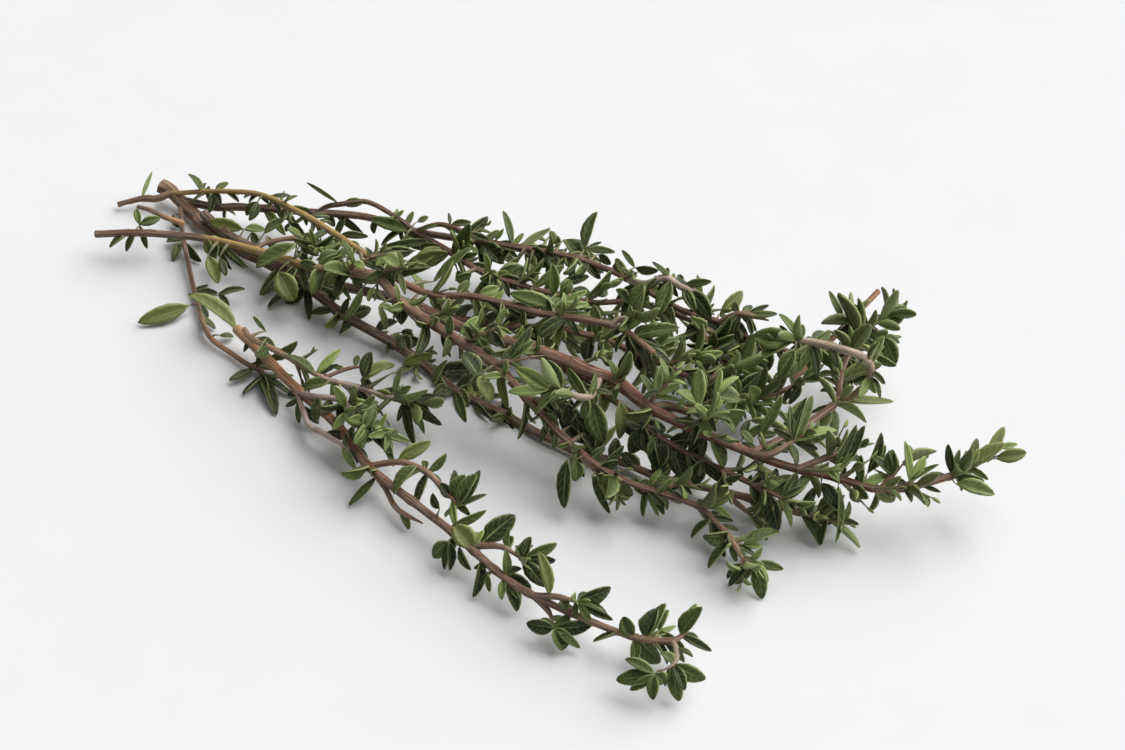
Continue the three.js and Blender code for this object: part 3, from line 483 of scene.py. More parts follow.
# Tufts that are seen leaf by leaf: where a tuft stands, then for each of its leaves the place of the
# tip, the width and the look. Tone runs from dark to olive green, youth from old to fresh.
D = dict(tone=0.05, youth=0, spots=0, blush=0)
G = dict(tone=0.5, youth=0.15, spots=0, blush=0)
O = dict(tone=0.97, youth=0.1, spots=0, blush=0)
P = dict(tone=0.6, youth=0.6, spots=0, blush=0)
Y = dict(tone=0.6, youth=1, spots=0, blush=0)
L = dict(tone=0.97, youth=1.3, spots=0, blush=0)
S = dict(tone=0.9, youth=0.8, spots=1, blush=0)
R = dict(tone=0.5, youth=0, spots=0, blush=0.6)
TUFTS = {
    "woody_clump": [
        ((-65.5, 25, 5.5), [(-64.5, 27.5, 6.5, 1.3, G), (-65, 21.5, 3.5, 1.5, D),
        (-63, 23.5, 4, 1.3, D)]), ((-54.5, 25.5, 7.5), [(-51.5, 27.5, 7.5, 0.9, D)]), ((-56.5, 26, 4.5),
        [(-50.5, 24, 2.5, 1.7, P)]), ((-52.5, 27, 4.5), [(-47.5, 24.5, 2, 1.4, D)]), ((-44, 29, 5.5),
        [(-38, 29, 3.5, 1.4, D)]), ((-42, 29.5, 5.5), [(-41.5, 25.5, 3, 1.4, D)]), ((-40, 13, 2),
        [(-43, 6.5, 0.5, 2.5, D), (-34.5, 8, 0.5, 1.5, D), (-42, 9.5, 0.5, 3.4, D)]), ((-28, 29, 7),
        [(-35.5, 26.5, 8, 2.4, G)]), ((-30, 29, 7), [(-30, 32, 8.5, 1.1, G), (-32.5, 25, 5.5, 1.5, D),
        (-25.5, 26.5, 5, 2.4, G)]), ((-28.5, 26.5, 7), [(-25.5, 26.5, 5.5, 1.7, G)]), ((-15.5, 30, 8),
        [(-14.5, 33.5, 9.5, 1.3, G), (-13.5, 26, 5.5, 1.1, D), (-12.5, 26.5, 5.5, 2.5, D),
        (-11, 28, 6.5, 3.2, D)]), ((-10.5, 31, 8.5), [(-14, 35, 12, 1.5, G), (-10, 34, 9.5, 1, O),
        (-5, 33, 8, 1.3, D)]), ((-9, 31, 8.5), [(-6.5, 36.5, 10.5, 1.5, P)]), ((1, 35, 9),
        [(-0.5, 41.5, 12, 2.4, G), (5, 38, 9, 1.4, G), (2.5, 38, 9.5, 0.7, D), (3.5, 33, 6.5, 1.7, G),
        (5.5, 33.5, 7, 1.5, G), (3, 32, 7.5, 1.8, G)]), ((-1, 32, 9), [(1.5, 30.5, 7, 1.4, D),
        (-2.5, 26, 5.5, 1.5, O), (1, 30.5, 7.5, 2.4, G)]), ((-7.5, 31.5, 8.5), [(-2, 32, 7.5, 1.7, D),
        (-2.5, 30, 6.5, 1.5, D), (-3.5, 27, 6, 2.4, O), (-3, 30.5, 8, 3.2, D),
        (-2.5, 33.5, 8.5, 2.5, D)]), ((-5.5, 28, 8.5), [(-3.5, 25.5, 6, 1.8, O)]), ((-8, 29, 8.5),
        [(-11, 23.5, 6, 1.4, G)]), ((-21.5, 27, 7), [(-25.5, 21.5, 5.5, 2.5, O)]), ((-24, 28, 7),
        [(-31, 22.5, 6, 1.8, D)]), ((-15, 12, 9.5), [(-12, 10.5, 7, 1.5, O)]), ((-10.5, 8, 9.5),
        [(-11, 5.5, 8, 1.3, O)]), ((-11, 13.5, 9.5), [(-10, 16.5, 10.5, 1.7, G)]), ((5.5, 16.5, 11),
        [(-1.5, 15, 13.5, 2.5, P), (8.5, 21, 13, 1.5, Y), (10, 19.5, 11, 1.5, Y), (9, 17, 10.5, 1.5, D),
        (8.5, 12, 8, 3, O)]), ((-6, 14, 10), [(-1.5, 13.5, 8.5, 1.8, P), (-2, 13.5, 9, 3.2, G)]),
        ((-2, 14, 10.5), [(3, 14.5, 9, 2.5, D), (3, 14.5, 9.5, 2.5, D)]), ((-7.5, 14, 10),
        [(-4.5, 11.5, 7.5, 1.5, O), (-5.5, 17.5, 11, 1.7, P)]), ((13, 30.5, 9),
        [(10.5, 27, 7.5, 1.8, D)]), ((11, 31, 9), [(7.5, 33, 11, 1.7, O)]), ((10.5, 34.5, 9),
        [(7.5, 35, 11, 1.1, G), (14, 35.5, 8, 1.7, D)]), ((20, 28, 14), [(16.5, 29, 16, 1, G),
        (21, 22.5, 10.5, 2.5, G), (23, 29.5, 13.5, 1.3, D)]), ((16.5, 27, 13), [(15.5, 22.5, 10, 2.4,
        G),
        (19.5, 26, 11.5, 0.8, Y)]), ((22, 28.5, 13), [(25, 26, 10.5, 1.8, G), (25.5, 31, 14.5, 1.5,
        G)]),
        ((23, 28.5, 12.5), [(28, 28, 10, 3.2, D)]), ((27, 32, 7), [(29, 36.5, 9.5, 2.4, O),
        (30.5, 31.5, 6, 1.8, G)]), ((32.5, 30, 10), [(34.5, 33.5, 11, 1, D), (37, 32, 10, 1.4, G),
        (35, 28, 8, 1, D)]), ((30.5, 29.5, 6.5), [(29, 26.5, 4.5, 1.8, D), (31.5, 25, 3, 3.2, D)]),
        ((32.5, 30, 5.5), [(33, 25.5, 2.5, 3.6, D), (35.5, 30.5, 4, 2.5, D)]), ((35, 29, 6),
        [(35.5, 23.5, 2.5, 4.2, D), (38, 25, 3, 3.6, D)]), ((36.5, 29, 6), [(38, 26.5, 3, 2.5, D)]),
        ((-2, 5, 0.5), [(-1.5, 0.5, 0.5, 3.2, O)]), ((-5, 2, 0.5), [(1, -3, 0.5, 1.7, G),
        (-1.5, 6.5, 2, 3.2, D), (-1, 0, 0.5, 2.5, G)]), ((-1, 1, 0.5), [(3.5, -2.5, 0.5, 1.1, D)]),
        ((1.5, 1, 0.5), [(7, -2, 0.5, 1.1, D)]), ((-9.5, 3.5, 1), [(-4, 8.5, 2, 3, D),
        (-5.5, 1, 0.5, 1.7, G)]), ((-15, 2.5, 1.5), [(-12, 6.5, 3, 2.4, O)]), ((-8.5, 1.5, 0.5),
        [(-9, 5, 3.5, 1.4, G)]), ((-19, 6.5, 1.5), [(-16.5, 8.5, 2.5, 1.3, D), (-15.5, 9, 2.5, 2.5,
        D)]),
        ((-34.5, -9, 1), [(-26.5, -16.5, 0.5, 2.4, D), (-29.5, -13, 0.5, 1.8, G),
        (-26, -12.5, 0.5, 1.3, D)]), ((50.5, -2, 2.5), [(50.5, -4.5, 0.5, 2.4, G)]), ((56.5, -2, 3),
        [(61.5, -4, 0.5, 2.4, G), (57, 2, 5.5, 1.7, D)]), ((58.5, -0.5, 3), [(60, 2, 4, 2.5, G),
        (61, -1, 1.5, 2.5, G)]), ((60, 0, 3.5), [(63, -0.5, 2, 1.5, G), (62.5, 1.5, 3, 1.3, Y)]),
        ((53, -2, 2.5), [(53.5, -3.5, 1, 1.4, D)]), ((-78.5, 21, 2), [(-80, 26.5, 4.5, 0.8, P)]),
        ((-68, 24.5, 5), [(-71, 26.5, 7, 1.5, G)]), ((-71, 19.5, 2), [(-69, 19, 0.5, 1.4, D)]),
        ((-56, 19.5, 4), [(-62, 18, 5, 2.4, O), (-53, 21.5, 4, 1.7, P)]), ((-52, 19.5, 4.5),
        [(-50, 23, 6, 1.8, G)]), ((-56, 24, 7), [(-57, 21.5, 5.5, 1.8, D), (-55, 21, 5, 1.7, D)]),
        ((-54, 26.5, 4.5), [(-50.5, 26, 3.5, 1.7, G)]), ((-50, 24, 4.5), [(-49.5, 23, 3.5, 1, D)]),
        ((-54.5, 19.5, 4), [(-52, 18.5, 2.5, 1.5, G)]), ((-29, 8.5, 2), [(-29, 7, 1, 0.7, D),
        (-26.5, 12, 3, 2.4, D)]), ((-41.5, 21, 5), [(-46, 20.5, 6, 1.7, D), (-38.5, 21.5, 6, 1.7, G),
        (-37.5, 23.5, 4.5, 1.8, G)]), ((-36.5, 19, 9.5), [(-32.5, 21.5, 10, 1.4, D)]), ((-45.5, 28.5,
        5),
        [(-43, 27.5, 4, 1.7, D)]), ((-41.5, 27, 9.5), [(-48, 27.5, 11.5, 0.8, G)]), ((-37.5, 29, 10),
        [(-40.5, 27, 9, 1.8, G)]), ((-36.5, 30, 6), [(-35, 28, 5, 1.4, D)]), ((-37.5, 23, 5.5),
        [(-35, 23, 4.5, 1.7, D)]), ((-65, 14, 2), [(-65.5, 10.5, 0.5, 1.5, G), (-60, 12, 0.5, 1.8, D)]),
        ((-51.5, 4.5, 1.5), [(-48, 7.5, 2.5, 1.4, D), (-49, 4.5, 0.5, 1.1, D)]), ((-51, -1.5, 1.5),
        [(-47.5, -2.5, 0.5, 1.3, G)]), ((-54, 0, 1.5), [(-59, -7.5, 0.5, 3, O)]), ((-45.5, -4, 1),
        [(-43.5, -3, 0.5, 1.4, G)]), ((-19.5, 10, 1.5), [(-17.5, 10.5, 1, 1.5, D), (-18, 11, 2, 1, D)]),
        ((20.5, 14, 12), [(25.5, 19, 13.5, 2.5, G), (21.5, 16.5, 13, 1.5, G)]), ((-18, 18, 7),
        [(-14.5, 25, 10.5, 1.8, G)]), ((-19.5, 26.5, 7), [(-26, 22, 5.5, 3, O)]), ((-21, 29, 10.5),
        [(-18.5, 31.5, 11, 1.3, G), (-22.5, 31, 11.5, 0.7, D)]), ((-29, 31.5, 7),
        [(-27.5, 33, 7.5, 1.1, G)]), ((-14, 30.5, 8), [(-8.5, 30.5, 8, 2.5, D)]), ((-9.5, 24, 7),
        [(-7, 26.5, 9, 1.8, G), (-5.5, 26.5, 8, 3.6, G), (-3.5, 24.5, 7, 2.4, D)]), ((-2.5, 24, 7),
        [(0, 29, 10, 1.7, G)]), ((-4.5, 32, 9), [(-1, 29.5, 7.5, 2.5, D)]), ((-6, 36, 9),
        [(-4, 36, 8, 1.7, G)]), ((-3.5, 36, 9), [(0.5, 34.5, 6.5, 3.8, G)]), ((3, 32, 9),
        [(5.5, 32.5, 7.5, 2.5, D)]), ((3.5, 35, 9), [(6, 35, 8, 1.5, D)]), ((0.5, 27, 7),
        [(4.5, 30, 8, 1.8, D)]), ((3, 26.5, 7), [(6, 27.5, 6.5, 3.2, D)]), ((2, 24.5, 7),
        [(3, 27, 8.5, 2.4, G)]), ((-15, 20, 7), [(-13, 22, 7.5, 1.8, G)]), ((3, 3, 0.5),
        [(8, -1.5, 0.5, 1.7, D)]), ((25, -2.5, 1), [(25.5, 0, 3.5, 2.5, D)]), ((23.5, -2.5, 1),
        [(21.5, -2.5, 2.5, 2.5, D)]), ((30, -2.5, 1), [(27, -1.5, 3, 2.5, D)]), ((32.5, -3, 1.5),
        [(34, 0.5, 3, 3.2, D)]), ((34.5, -3, 1.5), [(31.5, -0.5, 4, 3.2, D)]), ((36.5, -3, 1.5),
        [(38.5, 1.5, 3, 3.2, D)]), ((39.5, -0.5, 2), [(37, 1, 4.5, 3.2, D)]), ((35, 20, 4.5),
        [(37.5, 19, 2.5, 2.5, D)]), ((30, 24, 6), [(32, 27, 7, 3.2, D), (29, 20.5, 4, 3.2, D)]),
        ((31, 23.5, 5.5), [(34.5, 24.5, 5, 3.4, D)]), ((25, 28.5, 6.5), [(29, 28.5, 4.5, 3.4, D)]),
        ((27.5, 28, 6), [(32, 28, 4, 3.8, D)]), ((23.5, 29, 6.5), [(26, 26.5, 4, 3.2, D)]),
        ((-33.5, 10.5, 2), [(-32.5, 13.5, 3.5, 2.4, D)]), ((-23, 7.5, 2), [(-20.5, 10.5, 3, 2.4, D)]),
        ((-15.5, 5.5, 1.5), [(-18, 7.5, 3.5, 2.4, D)]), ((19, 15, 12), [(18.5, 18, 15, 1.4, G),
        (20.5, 18.5, 14.5, 1.4, Y), (22, 12.5, 10.5, 1.7, G), (21.5, 11.5, 9, 1.5, D)]),
    ],
    "long_sprig": [
        ((-35.5, 11, 8.5), [(-33, 14, 10, 1.8, G), (-35.5, 7, 6, 2.5, P), (-38.5, 10, 9, 1.8, G),
        (-33.5, 15, 10, 3, G), (-33.5, 10.5, 6, 2, O)]), ((-56.5, 12, 6), [(-53, 9.5, 2.5, 1.1, D),
        (-50.5, 10.5, 3, 0.8, G), (-53.5, 12, 5, 1.3, G)]), ((-14.5, 11.5, 15),
        [(-20.5, 8, 14.5, 1.1, G)]), ((-24.5, 13, 12), [(-21, 13.5, 10.5, 2.4, P)]), ((-2, -1, 14.5),
        [(-1, 2.5, 16.5, 1.5, Y)]), ((1, -1, 15.5), [(3.5, 1.5, 16, 1.4, Y), (3.5, -1.5, 13.5, 1.5, P),
        (5, -0.5, 14.5, 1.3, G)]), ((2, -0.5, 16), [(3.5, 2, 17, 1.3, D)]), ((-5.5, -0.5, 14),
        [(-3, -3, 11, 1, D)]), ((8, -4, 15), [(10.5, 1, 18.5, 1.8, D), (11.5, -0.5, 17, 1.5, G)]),
        ((23, -12.5, 8), [(24, -17.5, 2.5, 2.5, D)]), ((24, -12, 7.5), [(25.5, -13.5, 5.5, 2.4, G)]),
        ((27, -12.5, 6), [(33, -10.5, 3.5, 4, O), (31, -15, 2, 1.3, D)]), ((27.5, -11, 7),
        [(30, -7, 8.5, 1.3, D), (30, -9, 7.5, 1.5, D)]), ((25.5, -10.5, 7), [(27, -8, 8.5, 1.4, D)]),
        ((35, -9.5, 5), [(37, -7, 6, 1.8, G), (35.5, -13, 2, 1.3, G), (37.5, -12, 2, 1, Y),
        (39, -11, 2.5, 1.5, G), (36, -6.5, 6.5, 1.5, P), (36.5, -7.5, 6, 1.5, G)]), ((37.5, -9.5, 5.5),
        [(40.5, -6.5, 6, 1.4, G), (40, -7, 6.5, 1.3, P), (40.5, -9.5, 5, 1, G)]), ((7, -4.5, 13.5),
        [(9, -8, 9, 1.5, O)]), ((46, -11, 4.5), [(49, -14.5, 0.5, 1.8, D), (49, -11.5, 2, 1.5, G),
        (49, -9.5, 4, 1.1, D)]), ((45, -8.5, 4.5), [(47.5, -5.5, 5.5, 1.3, P), (48.5, -8, 3.5, 1.1, Y),
        (45.5, -4.5, 7.5, 1.8, G), (47, -8.5, 4, 1, Y)]), ((50.5, -13.5, 4), [(48.5, -17.5, 1, 1.8, G),
        (52, -15, 1.5, 1.3, G)]), ((52.5, -13.5, 4), [(56.5, -9.5, 5, 2.4, G), (55, -12.5, 4, 1.1, Y)]),
        ((55.5, -16.5, 4), [(54, -19, 1, 1.5, G), (59.5, -14.5, 3.5, 1.5, G), (59, -18.5, 0.5, 2.5, G),
        (58.5, -17, 2.5, 1.3, Y), (57, -18, 2.5, 1.1, Y)]), ((-72, 8, 5), [(-73.5, 5, 3.5, 1.5, G)]),
        ((-71, 10.5, 5.5), [(-68, 9, 3, 1.3, G), (-72.5, 12.5, 7.5, 1.3, P), (-69, 13.5, 6.5, 1.7, G)]),
        ((-41.5, 8, 7.5), [(-37.5, 6, 4, 4, O)]), ((-32, 10.5, 9.5), [(-28, 7, 6.5, 1.1, G),
        (-29, 8, 8, 1.1, G)]), ((-24, 6, 11.5), [(-23.5, 1.5, 7.5, 1.5, G)]), ((-20.5, 17, 13),
        [(-26.5, 13, 12.5, 2.4, D)]), ((-30, 11, 11.5), [(-27.5, 11, 10.5, 1.4, P),
        (-29.5, 13.5, 12.5, 1.1, G), (-26.5, 8.5, 8.5, 1.4, G)]), ((-25.5, 9.5, 12.5),
        [(-27.5, 9, 13, 1.7, P)]), ((-58.5, 12, 6), [(-56, 10, 4.5, 2, O)]), ((-55.5, 8, 6),
        [(-52, 5.5, 3, 2.5, O)]), ((-53.5, 8.5, 6), [(-51, 7, 4, 1.4, D)]), ((-55, 12, 6),
        [(-50, 10, 3.5, 1.1, G)]), ((-27.5, 10, 10.5), [(-26.5, 8.5, 9, 1.4, G),
        (-30, 11, 11.5, 1.7, P)]), ((-22, 6.5, 12), [(-21.5, 4.5, 10.5, 1.3, P)]), ((-21.5, 9, 13.5),
        [(-23.5, 9, 14, 1.4, D), (-19, 8, 12.5, 1.4, G), (-23.5, 6.5, 12.5, 1.7, G)]), ((-19, 9, 15),
        [(-16, 5.5, 13, 1.1, G), (-14.5, 11.5, 15.5, 1.3, G)]), ((-19, 9, 15), [(-22, 9.5, 16, 3.2,
        P)]),
        ((-15.5, 4, 13), [(-11.5, 2, 11, 2.5, D), (-14, 1, 11, 2.5, D)]), ((-18, 1.5, 13),
        [(-15.5, 2.5, 12, 1.4, P), (-16, -1, 10.5, 1.3, G)]), ((-40.5, 12.5, 10.5),
        [(-44.5, 6.5, 7.5, 3.4, G)]), ((12, -6.5, 12.5), [(16.5, -8, 9.5, 2.4, G)]), ((17.5, -5.5, 9.5),
        [(23, -5.5, 6.5, 3.4, D), (15, -6, 11, 1.8, D)]), ((15.5, -7.5, 10.5),
        [(19.5, -7.5, 7.5, 2.5, G)]), ((20.5, -5.5, 8.5), [(24.5, -6, 6, 3.2, D)]), ((23.5, -3, 7.5),
        [(23.5, -6, 5, 2.5, D)]), ((5, -7.5, 13.5), [(1.5, -6, 16, 3.2, D), (8, -10, 11.5, 3.2, O)]),
        ((-33, 12.5, 9.5), [(-31.5, 15.5, 11, 1.8, G)]), ((-24.5, 11, 12), [(-22.5, 14, 13, 3.2, P)]),
        ((-31, 10, 9.5), [(-32.5, 8, 8, 2.5, O)]), ((-46, 17, 7), [(-41, 19.5, 7, 2.2, O)]),
        ((-49, 16, 7), [(-46, 15, 5.5, 1.5, D)]), ((-42, 14.5, 7.5), [(-39.5, 14, 6, 1.3, D)]),
    ],
    "right_sprig": [
        ((45, 18.5, 17), [(39.5, 16.5, 18, 3.4, S), (42.5, 14, 15.5, 2.4, P),
        (42.5, 19.5, 18.5, 1.1, G)]), ((46.5, 18.5, 17.5), [(42, 21, 20, 1.4, P),
        (46, 21.5, 18.5, 1, G)]), ((48, 19, 17.5), [(47, 12.5, 13.5, 3, G), (51.5, 16, 14, 1.4, D)]),
        ((46.5, 16.5, 17.5), [(45.5, 12.5, 14.5, 2.4, G)]), ((48.5, 19, 17.5), [(52, 21, 16.5, 1.4, D),
        (50, 22.5, 18, 1.7, G)]), ((51.5, 34.5, 11.5), [(46.5, 37, 13.5, 2.4, D), (52, 33, 9, 1.4, Y),
        (54, 33, 8.5, 1.7, G), (50, 30.5, 8.5, 1.8, G)]), ((52.5, 36, 11.5), [(56, 39.5, 13, 3.4, G)]),
        ((47.5, 34.5, 11), [(43, 36, 14, 1.3, G)]), ((49.5, 34.5, 11), [(47.5, 32, 10, 1.8, D)]),
        ((54.5, 33, 11.5), [(57, 34, 11, 1.4, G), (58, 31, 9, 3, G)]), ((54.5, 29.5, 10.5),
        [(58, 29, 9, 1.4, G), (56, 30.5, 10, 1.1, G)]), ((57, 21, 13), [(57, 17.5, 11, 1.7, Y),
        (58.5, 19.5, 11, 1.4, Y), (60, 20.5, 10.5, 1.1, G)]), ((51, 27.5, 10), [(50.5, 24, 8, 1.5, D),
        (53, 24, 7.5, 1.8, D), (49, 24.5, 8.5, 1.8, G), (54, 27, 7.5, 1.7, G)]), ((52, 21.5, 9),
        [(49.5, 21.5, 9.5, 1, D), (50.5, 22.5, 10, 1.1, D)]), ((53, 19.5, 8), [(61, 22.5, 7.5, 1.8,
        O)]),
        ((31, 0, 14), [(31, 3.5, 17.5, 1.5, Y), (33.5, 3, 16, 1.7, Y), (35, 1.5, 14, 1.1, G),
        (28, 1, 16.5, 1.5, G)]), ((38.5, 0, 15), [(36.5, 3.5, 19, 2.5, P), (34.5, 0, 16.5, 2.5, P),
        (41, -1, 14, 1.1, Y)]), ((40, 2.5, 15.5), [(43.5, 3.5, 15.5, 3.4, G), (39.5, 5.5, 18.5, 1.4, Y),
        (42, 6.5, 17.5, 1.5, Y)]), ((38, 3, 15.5), [(36.5, 5, 18, 1.5, G)]), ((39.5, -1, 15),
        [(37.5, -2.5, 15, 1.3, P), (41.5, -3, 12.5, 2.4, P)]), ((42, -1, 15.5), [(45.5, 1.5, 15, 1.7,
        G),
        (45.5, -1.5, 14, 1.4, G)]), ((41.5, -2, 12), [(44.5, -4.5, 8.5, 2.4, G),
        (45.5, -0.5, 11.5, 1.1, P)]), ((38.5, -3.5, 8.5), [(40.5, -5, 5.5, 1.7, D),
        (41, -4.5, 6.5, 1.7, D), (43, -4.5, 6, 3, D), (40.5, -1.5, 10, 2.5, D)]), ((45.5, 0.5, 11),
        [(47.5, 3, 12.5, 1.5, G), (45.5, 3, 13, 1.4, D)]), ((47.5, 1.5, 11.5), [(49, 7, 16, 1.7, G),
        (49.5, 3.5, 12, 1.4, G)]), ((53.5, 1, 13), [(51, 4, 17, 1.3, G), (51.5, 6, 17.5, 1.5, D),
        (53.5, 7, 18, 1.8, G), (58, 5.5, 15, 2.4, Y), (57, 2, 13, 1.3, D)]), ((47.5, 0, 11),
        [(45, 0.5, 12.5, 1.4, G)]), ((50, -2, 11), [(51.5, 0.5, 12, 1.4, G)]), ((60.5, 0, 11),
        [(61, 6, 16, 1.3, D), (62, 3, 13.5, 1.5, G)]), ((61.5, 1, 11), [(63, 6.5, 15.5, 1.7, D)]),
        ((64.5, 1.5, 8.5), [(63, 5, 11.5, 1.5, G), (67.5, 4.5, 10, 1.7, Y)]), ((64, 4.5, 8.5),
        [(65, 9.5, 12.5, 1.7, D)]), ((64.5, 6, 8.5), [(65.5, 9, 11, 1.3, G)]), ((68, 4, 10),
        [(67.5, 6.5, 13, 2.4, G)]), ((71, 3.5, 10.5), [(69, 7, 15, 1.3, Y), (72.5, 7, 13, 1.7, Y),
        (73.5, 7, 13, 1.1, G)]), ((68.5, 5, 10.5), [(66.5, 6, 13, 1.3, G)]), ((63, 1.5, 8.5),
        [(66, 0.5, 7.5, 1.8, G)]), ((67.5, 2.5, 8.5), [(68.5, 2, 7.5, 1, G)]), ((70, 4, 8.5),
        [(72, 3.5, 7.5, 1.5, R)]), ((72, 6, 8.5), [(75, 6, 8, 0.8, D)]), ((75.5, 9.5, 9),
        [(73.5, 12, 12.5, 1.4, D), (75.5, 13, 11.5, 1.1, G), (80, 11, 9, 1.3, G), (76.5, 10, 10, 1, G),
        (78, 11.5, 10, 1.3, G)]), ((77, 11.5, 9.5), [(76.5, 15.5, 12.5, 1.7, R), (81.5, 16, 12, 2.6, O),
        (77, 13, 12, 1.3, G), (78, 13.5, 12, 1.3, P), (80.5, 11.5, 9.5, 1.1, G)]), ((79, 14, 10),
        [(79, 19, 13.5, 1.8, O)]), ((80, 15, 10), [(84, 17.5, 10.5, 2.2, O)]), ((79.5, 17.5, 10),
        [(82, 19, 10.5, 1.1, Y)]), ((76.5, 8, 9), [(82, 10, 8.5, 2.4, P)]), ((17, -7, 15),
        [(11.5, -6.5, 17.5, 2.5, L), (11.5, -10, 15, 1.8, Y)]), ((18.5, -6, 15), [(16, -11, 13.5, 1.5,
        G),
        (15.5, -4, 18.5, 2.4, G)]), ((22.5, -5, 14), [(17.5, -3, 16.5, 1.7, G), (23, -7, 11.5, 1.7, G),
        (22.5, -1.5, 16, 1.3, G)]), ((21, -0.5, 12), [(22.5, -2, 10, 1.3, G)]), ((21, 2.5, 12.5),
        [(23.5, -1.5, 8, 2.4, O)]), ((26, -1.5, 12.5), [(28.5, -5, 8.5, 2.2, O)]), ((22, -3, 12),
        [(25.5, -6.5, 7.5, 3.6, G)]), ((24, 2, 12.5), [(22, 0, 12.5, 1.1, G)]), ((12.5, -1.5, 11.5),
        [(16.5, -4.5, 7, 3.4, D)]), ((16, -4.5, 11.5), [(20.5, -6, 7.5, 3.2, D)]), ((18, -5, 12),
        [(23.5, -6.5, 7.5, 2.5, D)]), ((19, -4, 12), [(19.5, -7, 9, 2.4, D)]), ((16, -1.5, 11.5),
        [(15, -5, 9, 1.8, D)]), ((3.5, 2, 10), [(8, 5.5, 11, 1.4, D)]), ((52.5, -5.5, 8),
        [(56, -7.5, 3.5, 3, D), (55, -4, 8, 1.7, G), (54.5, -1.5, 9, 1.7, G), (56, -2.5, 8.5, 2.3, G),
        (52.5, -2, 10, 1.7, D)]), ((49.5, -5, 8), [(51.5, -6, 6, 2.4, D), (51, -2, 9.5, 1.7, D)]),
        ((55, -6, 8), [(57.5, -3.5, 9, 1.4, D), (56, -2, 10, 2.3, D), (58, -2, 9.5, 2.3, G)]),
        ((59, -1, 9), [(63, -1.5, 6.5, 2.4, D)]), ((61.5, -0.5, 9), [(65, -5, 3, 1.3, G)]),
        ((30.5, -2.5, 10), [(32.5, -5, 7, 3.2, D), (28, -4, 11, 2.5, D), (30.5, -6, 7, 3, D),
        (35, -4.5, 7, 3.4, D), (33.5, -0.5, 9.5, 2.5, D)]), ((32.5, -3, 9.5), [(36, -5, 5.5, 3.4, D)]),
        ((35, -3.5, 9), [(34.5, -6.5, 6, 3.2, D), (39.5, -5, 6, 3.2, D), (38.5, -4, 6.5, 3.4, D),
        (39, -0.5, 10, 2.5, D)]), ((41, -4, 8.5), [(46, -5, 5.5, 1.8, D), (40.5, -6.5, 5.5, 2.5, D)]),
        ((45, -4, 8), [(45, -7, 4.5, 1.7, G)]), ((26.5, -1, 10.5), [(30.5, -3, 7.5, 3, D)]),
        ((33.5, -3, 9.5), [(34, -6.5, 6.5, 3.4, D)]),
    ],
    "front_sprig": [
        ((-37.5, -4, 3.5), [(-34.5, -3.5, 2, 1.7, D), (-37, -6, 2, 1.1, D)]), ((-19, -15, 6),
        [(-19, -17.5, 2.5, 2.4, G)]), ((-17.5, -15, 6), [(-16.5, -17, 4.5, 1.7, D)]), ((-15.5, -15,
        6.5),
        [(-14, -17, 4.5, 1.5, D)]), ((-23, -15, 4), [(-24.5, -16.5, 2.5, 1, D),
        (-21.5, -17.5, 1.5, 1.4, G)]), ((-8, -20, 7), [(-9.5, -17.5, 8.5, 1.1, P), (-7, -17, 9, 1.7, G),
        (-2.5, -20.5, 5, 1.8, D)]), ((-6, -19, 7), [(-5.5, -17, 9, 1, Y), (-3, -18, 7, 1.1, Y),
        (-1, -19, 6, 1.4, P), (-1, -21.5, 4, 1.3, G)]), ((-10, -20, 7), [(-12, -19.5, 8.5, 1.3, G),
        (-9.5, -21.5, 5.5, 1.5, D)]), ((-10.5, -22.5, 4.5), [(-8, -24, 2, 1.4, Y)]), ((-9.5, -22.5,
        4.5),
        [(-7, -23.5, 3.5, 1, D)]), ((-15, -20.5, 4), [(-11.5, -18.5, 4, 1.7, D)]), ((-0.5, -23, 6),
        [(2.5, -18.5, 8.5, 2.2, O)]), ((5.5, -24, 7), [(7.5, -21, 8.5, 1.5, G), (7, -24, 6.5, 0.8, D),
        (5.5, -28.5, 4, 1.8, D)]), ((3.5, -23.5, 7), [(1, -28, 5, 2.4, G)]), ((-3, -25, 3.5),
        [(-4.5, -30, 0.5, 1.5, G)]), ((3.5, -29, 2.5), [(5.5, -30.5, 0.5, 1.5, G)]), ((11.5, -27, 6.5),
        [(10, -24.5, 9.5, 1.8, D), (12, -24.5, 9.5, 2.4, G), (9, -27, 8, 1.8, D), (15, -28, 6, 1.3, G),
        (14, -30.5, 4.5, 1.3, Y)]), ((13, -28, 6.5), [(14, -24, 10, 2.4, G), (15, -23.5, 10, 1.8, D),
        (16.5, -25.5, 7.5, 1, D)]), ((11, -30, 6.5), [(9, -29.5, 8, 1.5, D)]), ((13, -31, 4.5),
        [(17.5, -27, 5.5, 1.4, G)]), ((18.5, -33.5, 4.5), [(15, -32.5, 7, 3.4, O),
        (19, -31.5, 7, 1.3, Y)]), ((19, -32, 4.5), [(21.5, -27, 8, 3.4, D)]), ((23.5, -33, 6.5),
        [(23.5, -31, 9, 0.7, G)]), ((14.5, -33.5, 4.5), [(12.5, -35.5, 2.5, 2.4, G),
        (15, -36.5, 1.5, 1.3, D), (16.5, -36, 1.5, 1.5, D)]), ((16.5, -34, 4.5),
        [(19, -35.5, 2, 1.4, G)]), ((20.5, -34.5, 4.5), [(22, -38.5, 0.5, 1.8, D)]), ((23, -37, 4.5),
        [(24, -38.5, 2.5, 1, G)]), ((25.5, -36.5, 4.5), [(28.5, -39, 1, 2.4, D), (25, -34, 7.5, 1.5, G),
        (27, -34.5, 5.5, 1.7, D), (29.5, -35.5, 4, 2.4, D), (26.5, -39, 2.5, 1.3, Y),
        (28.5, -38, 2.5, 1.1, Y)]), ((27, -34, 6.5), [(27, -31.5, 9, 1.8, D), (31, -30.5, 8, 1.8, G),
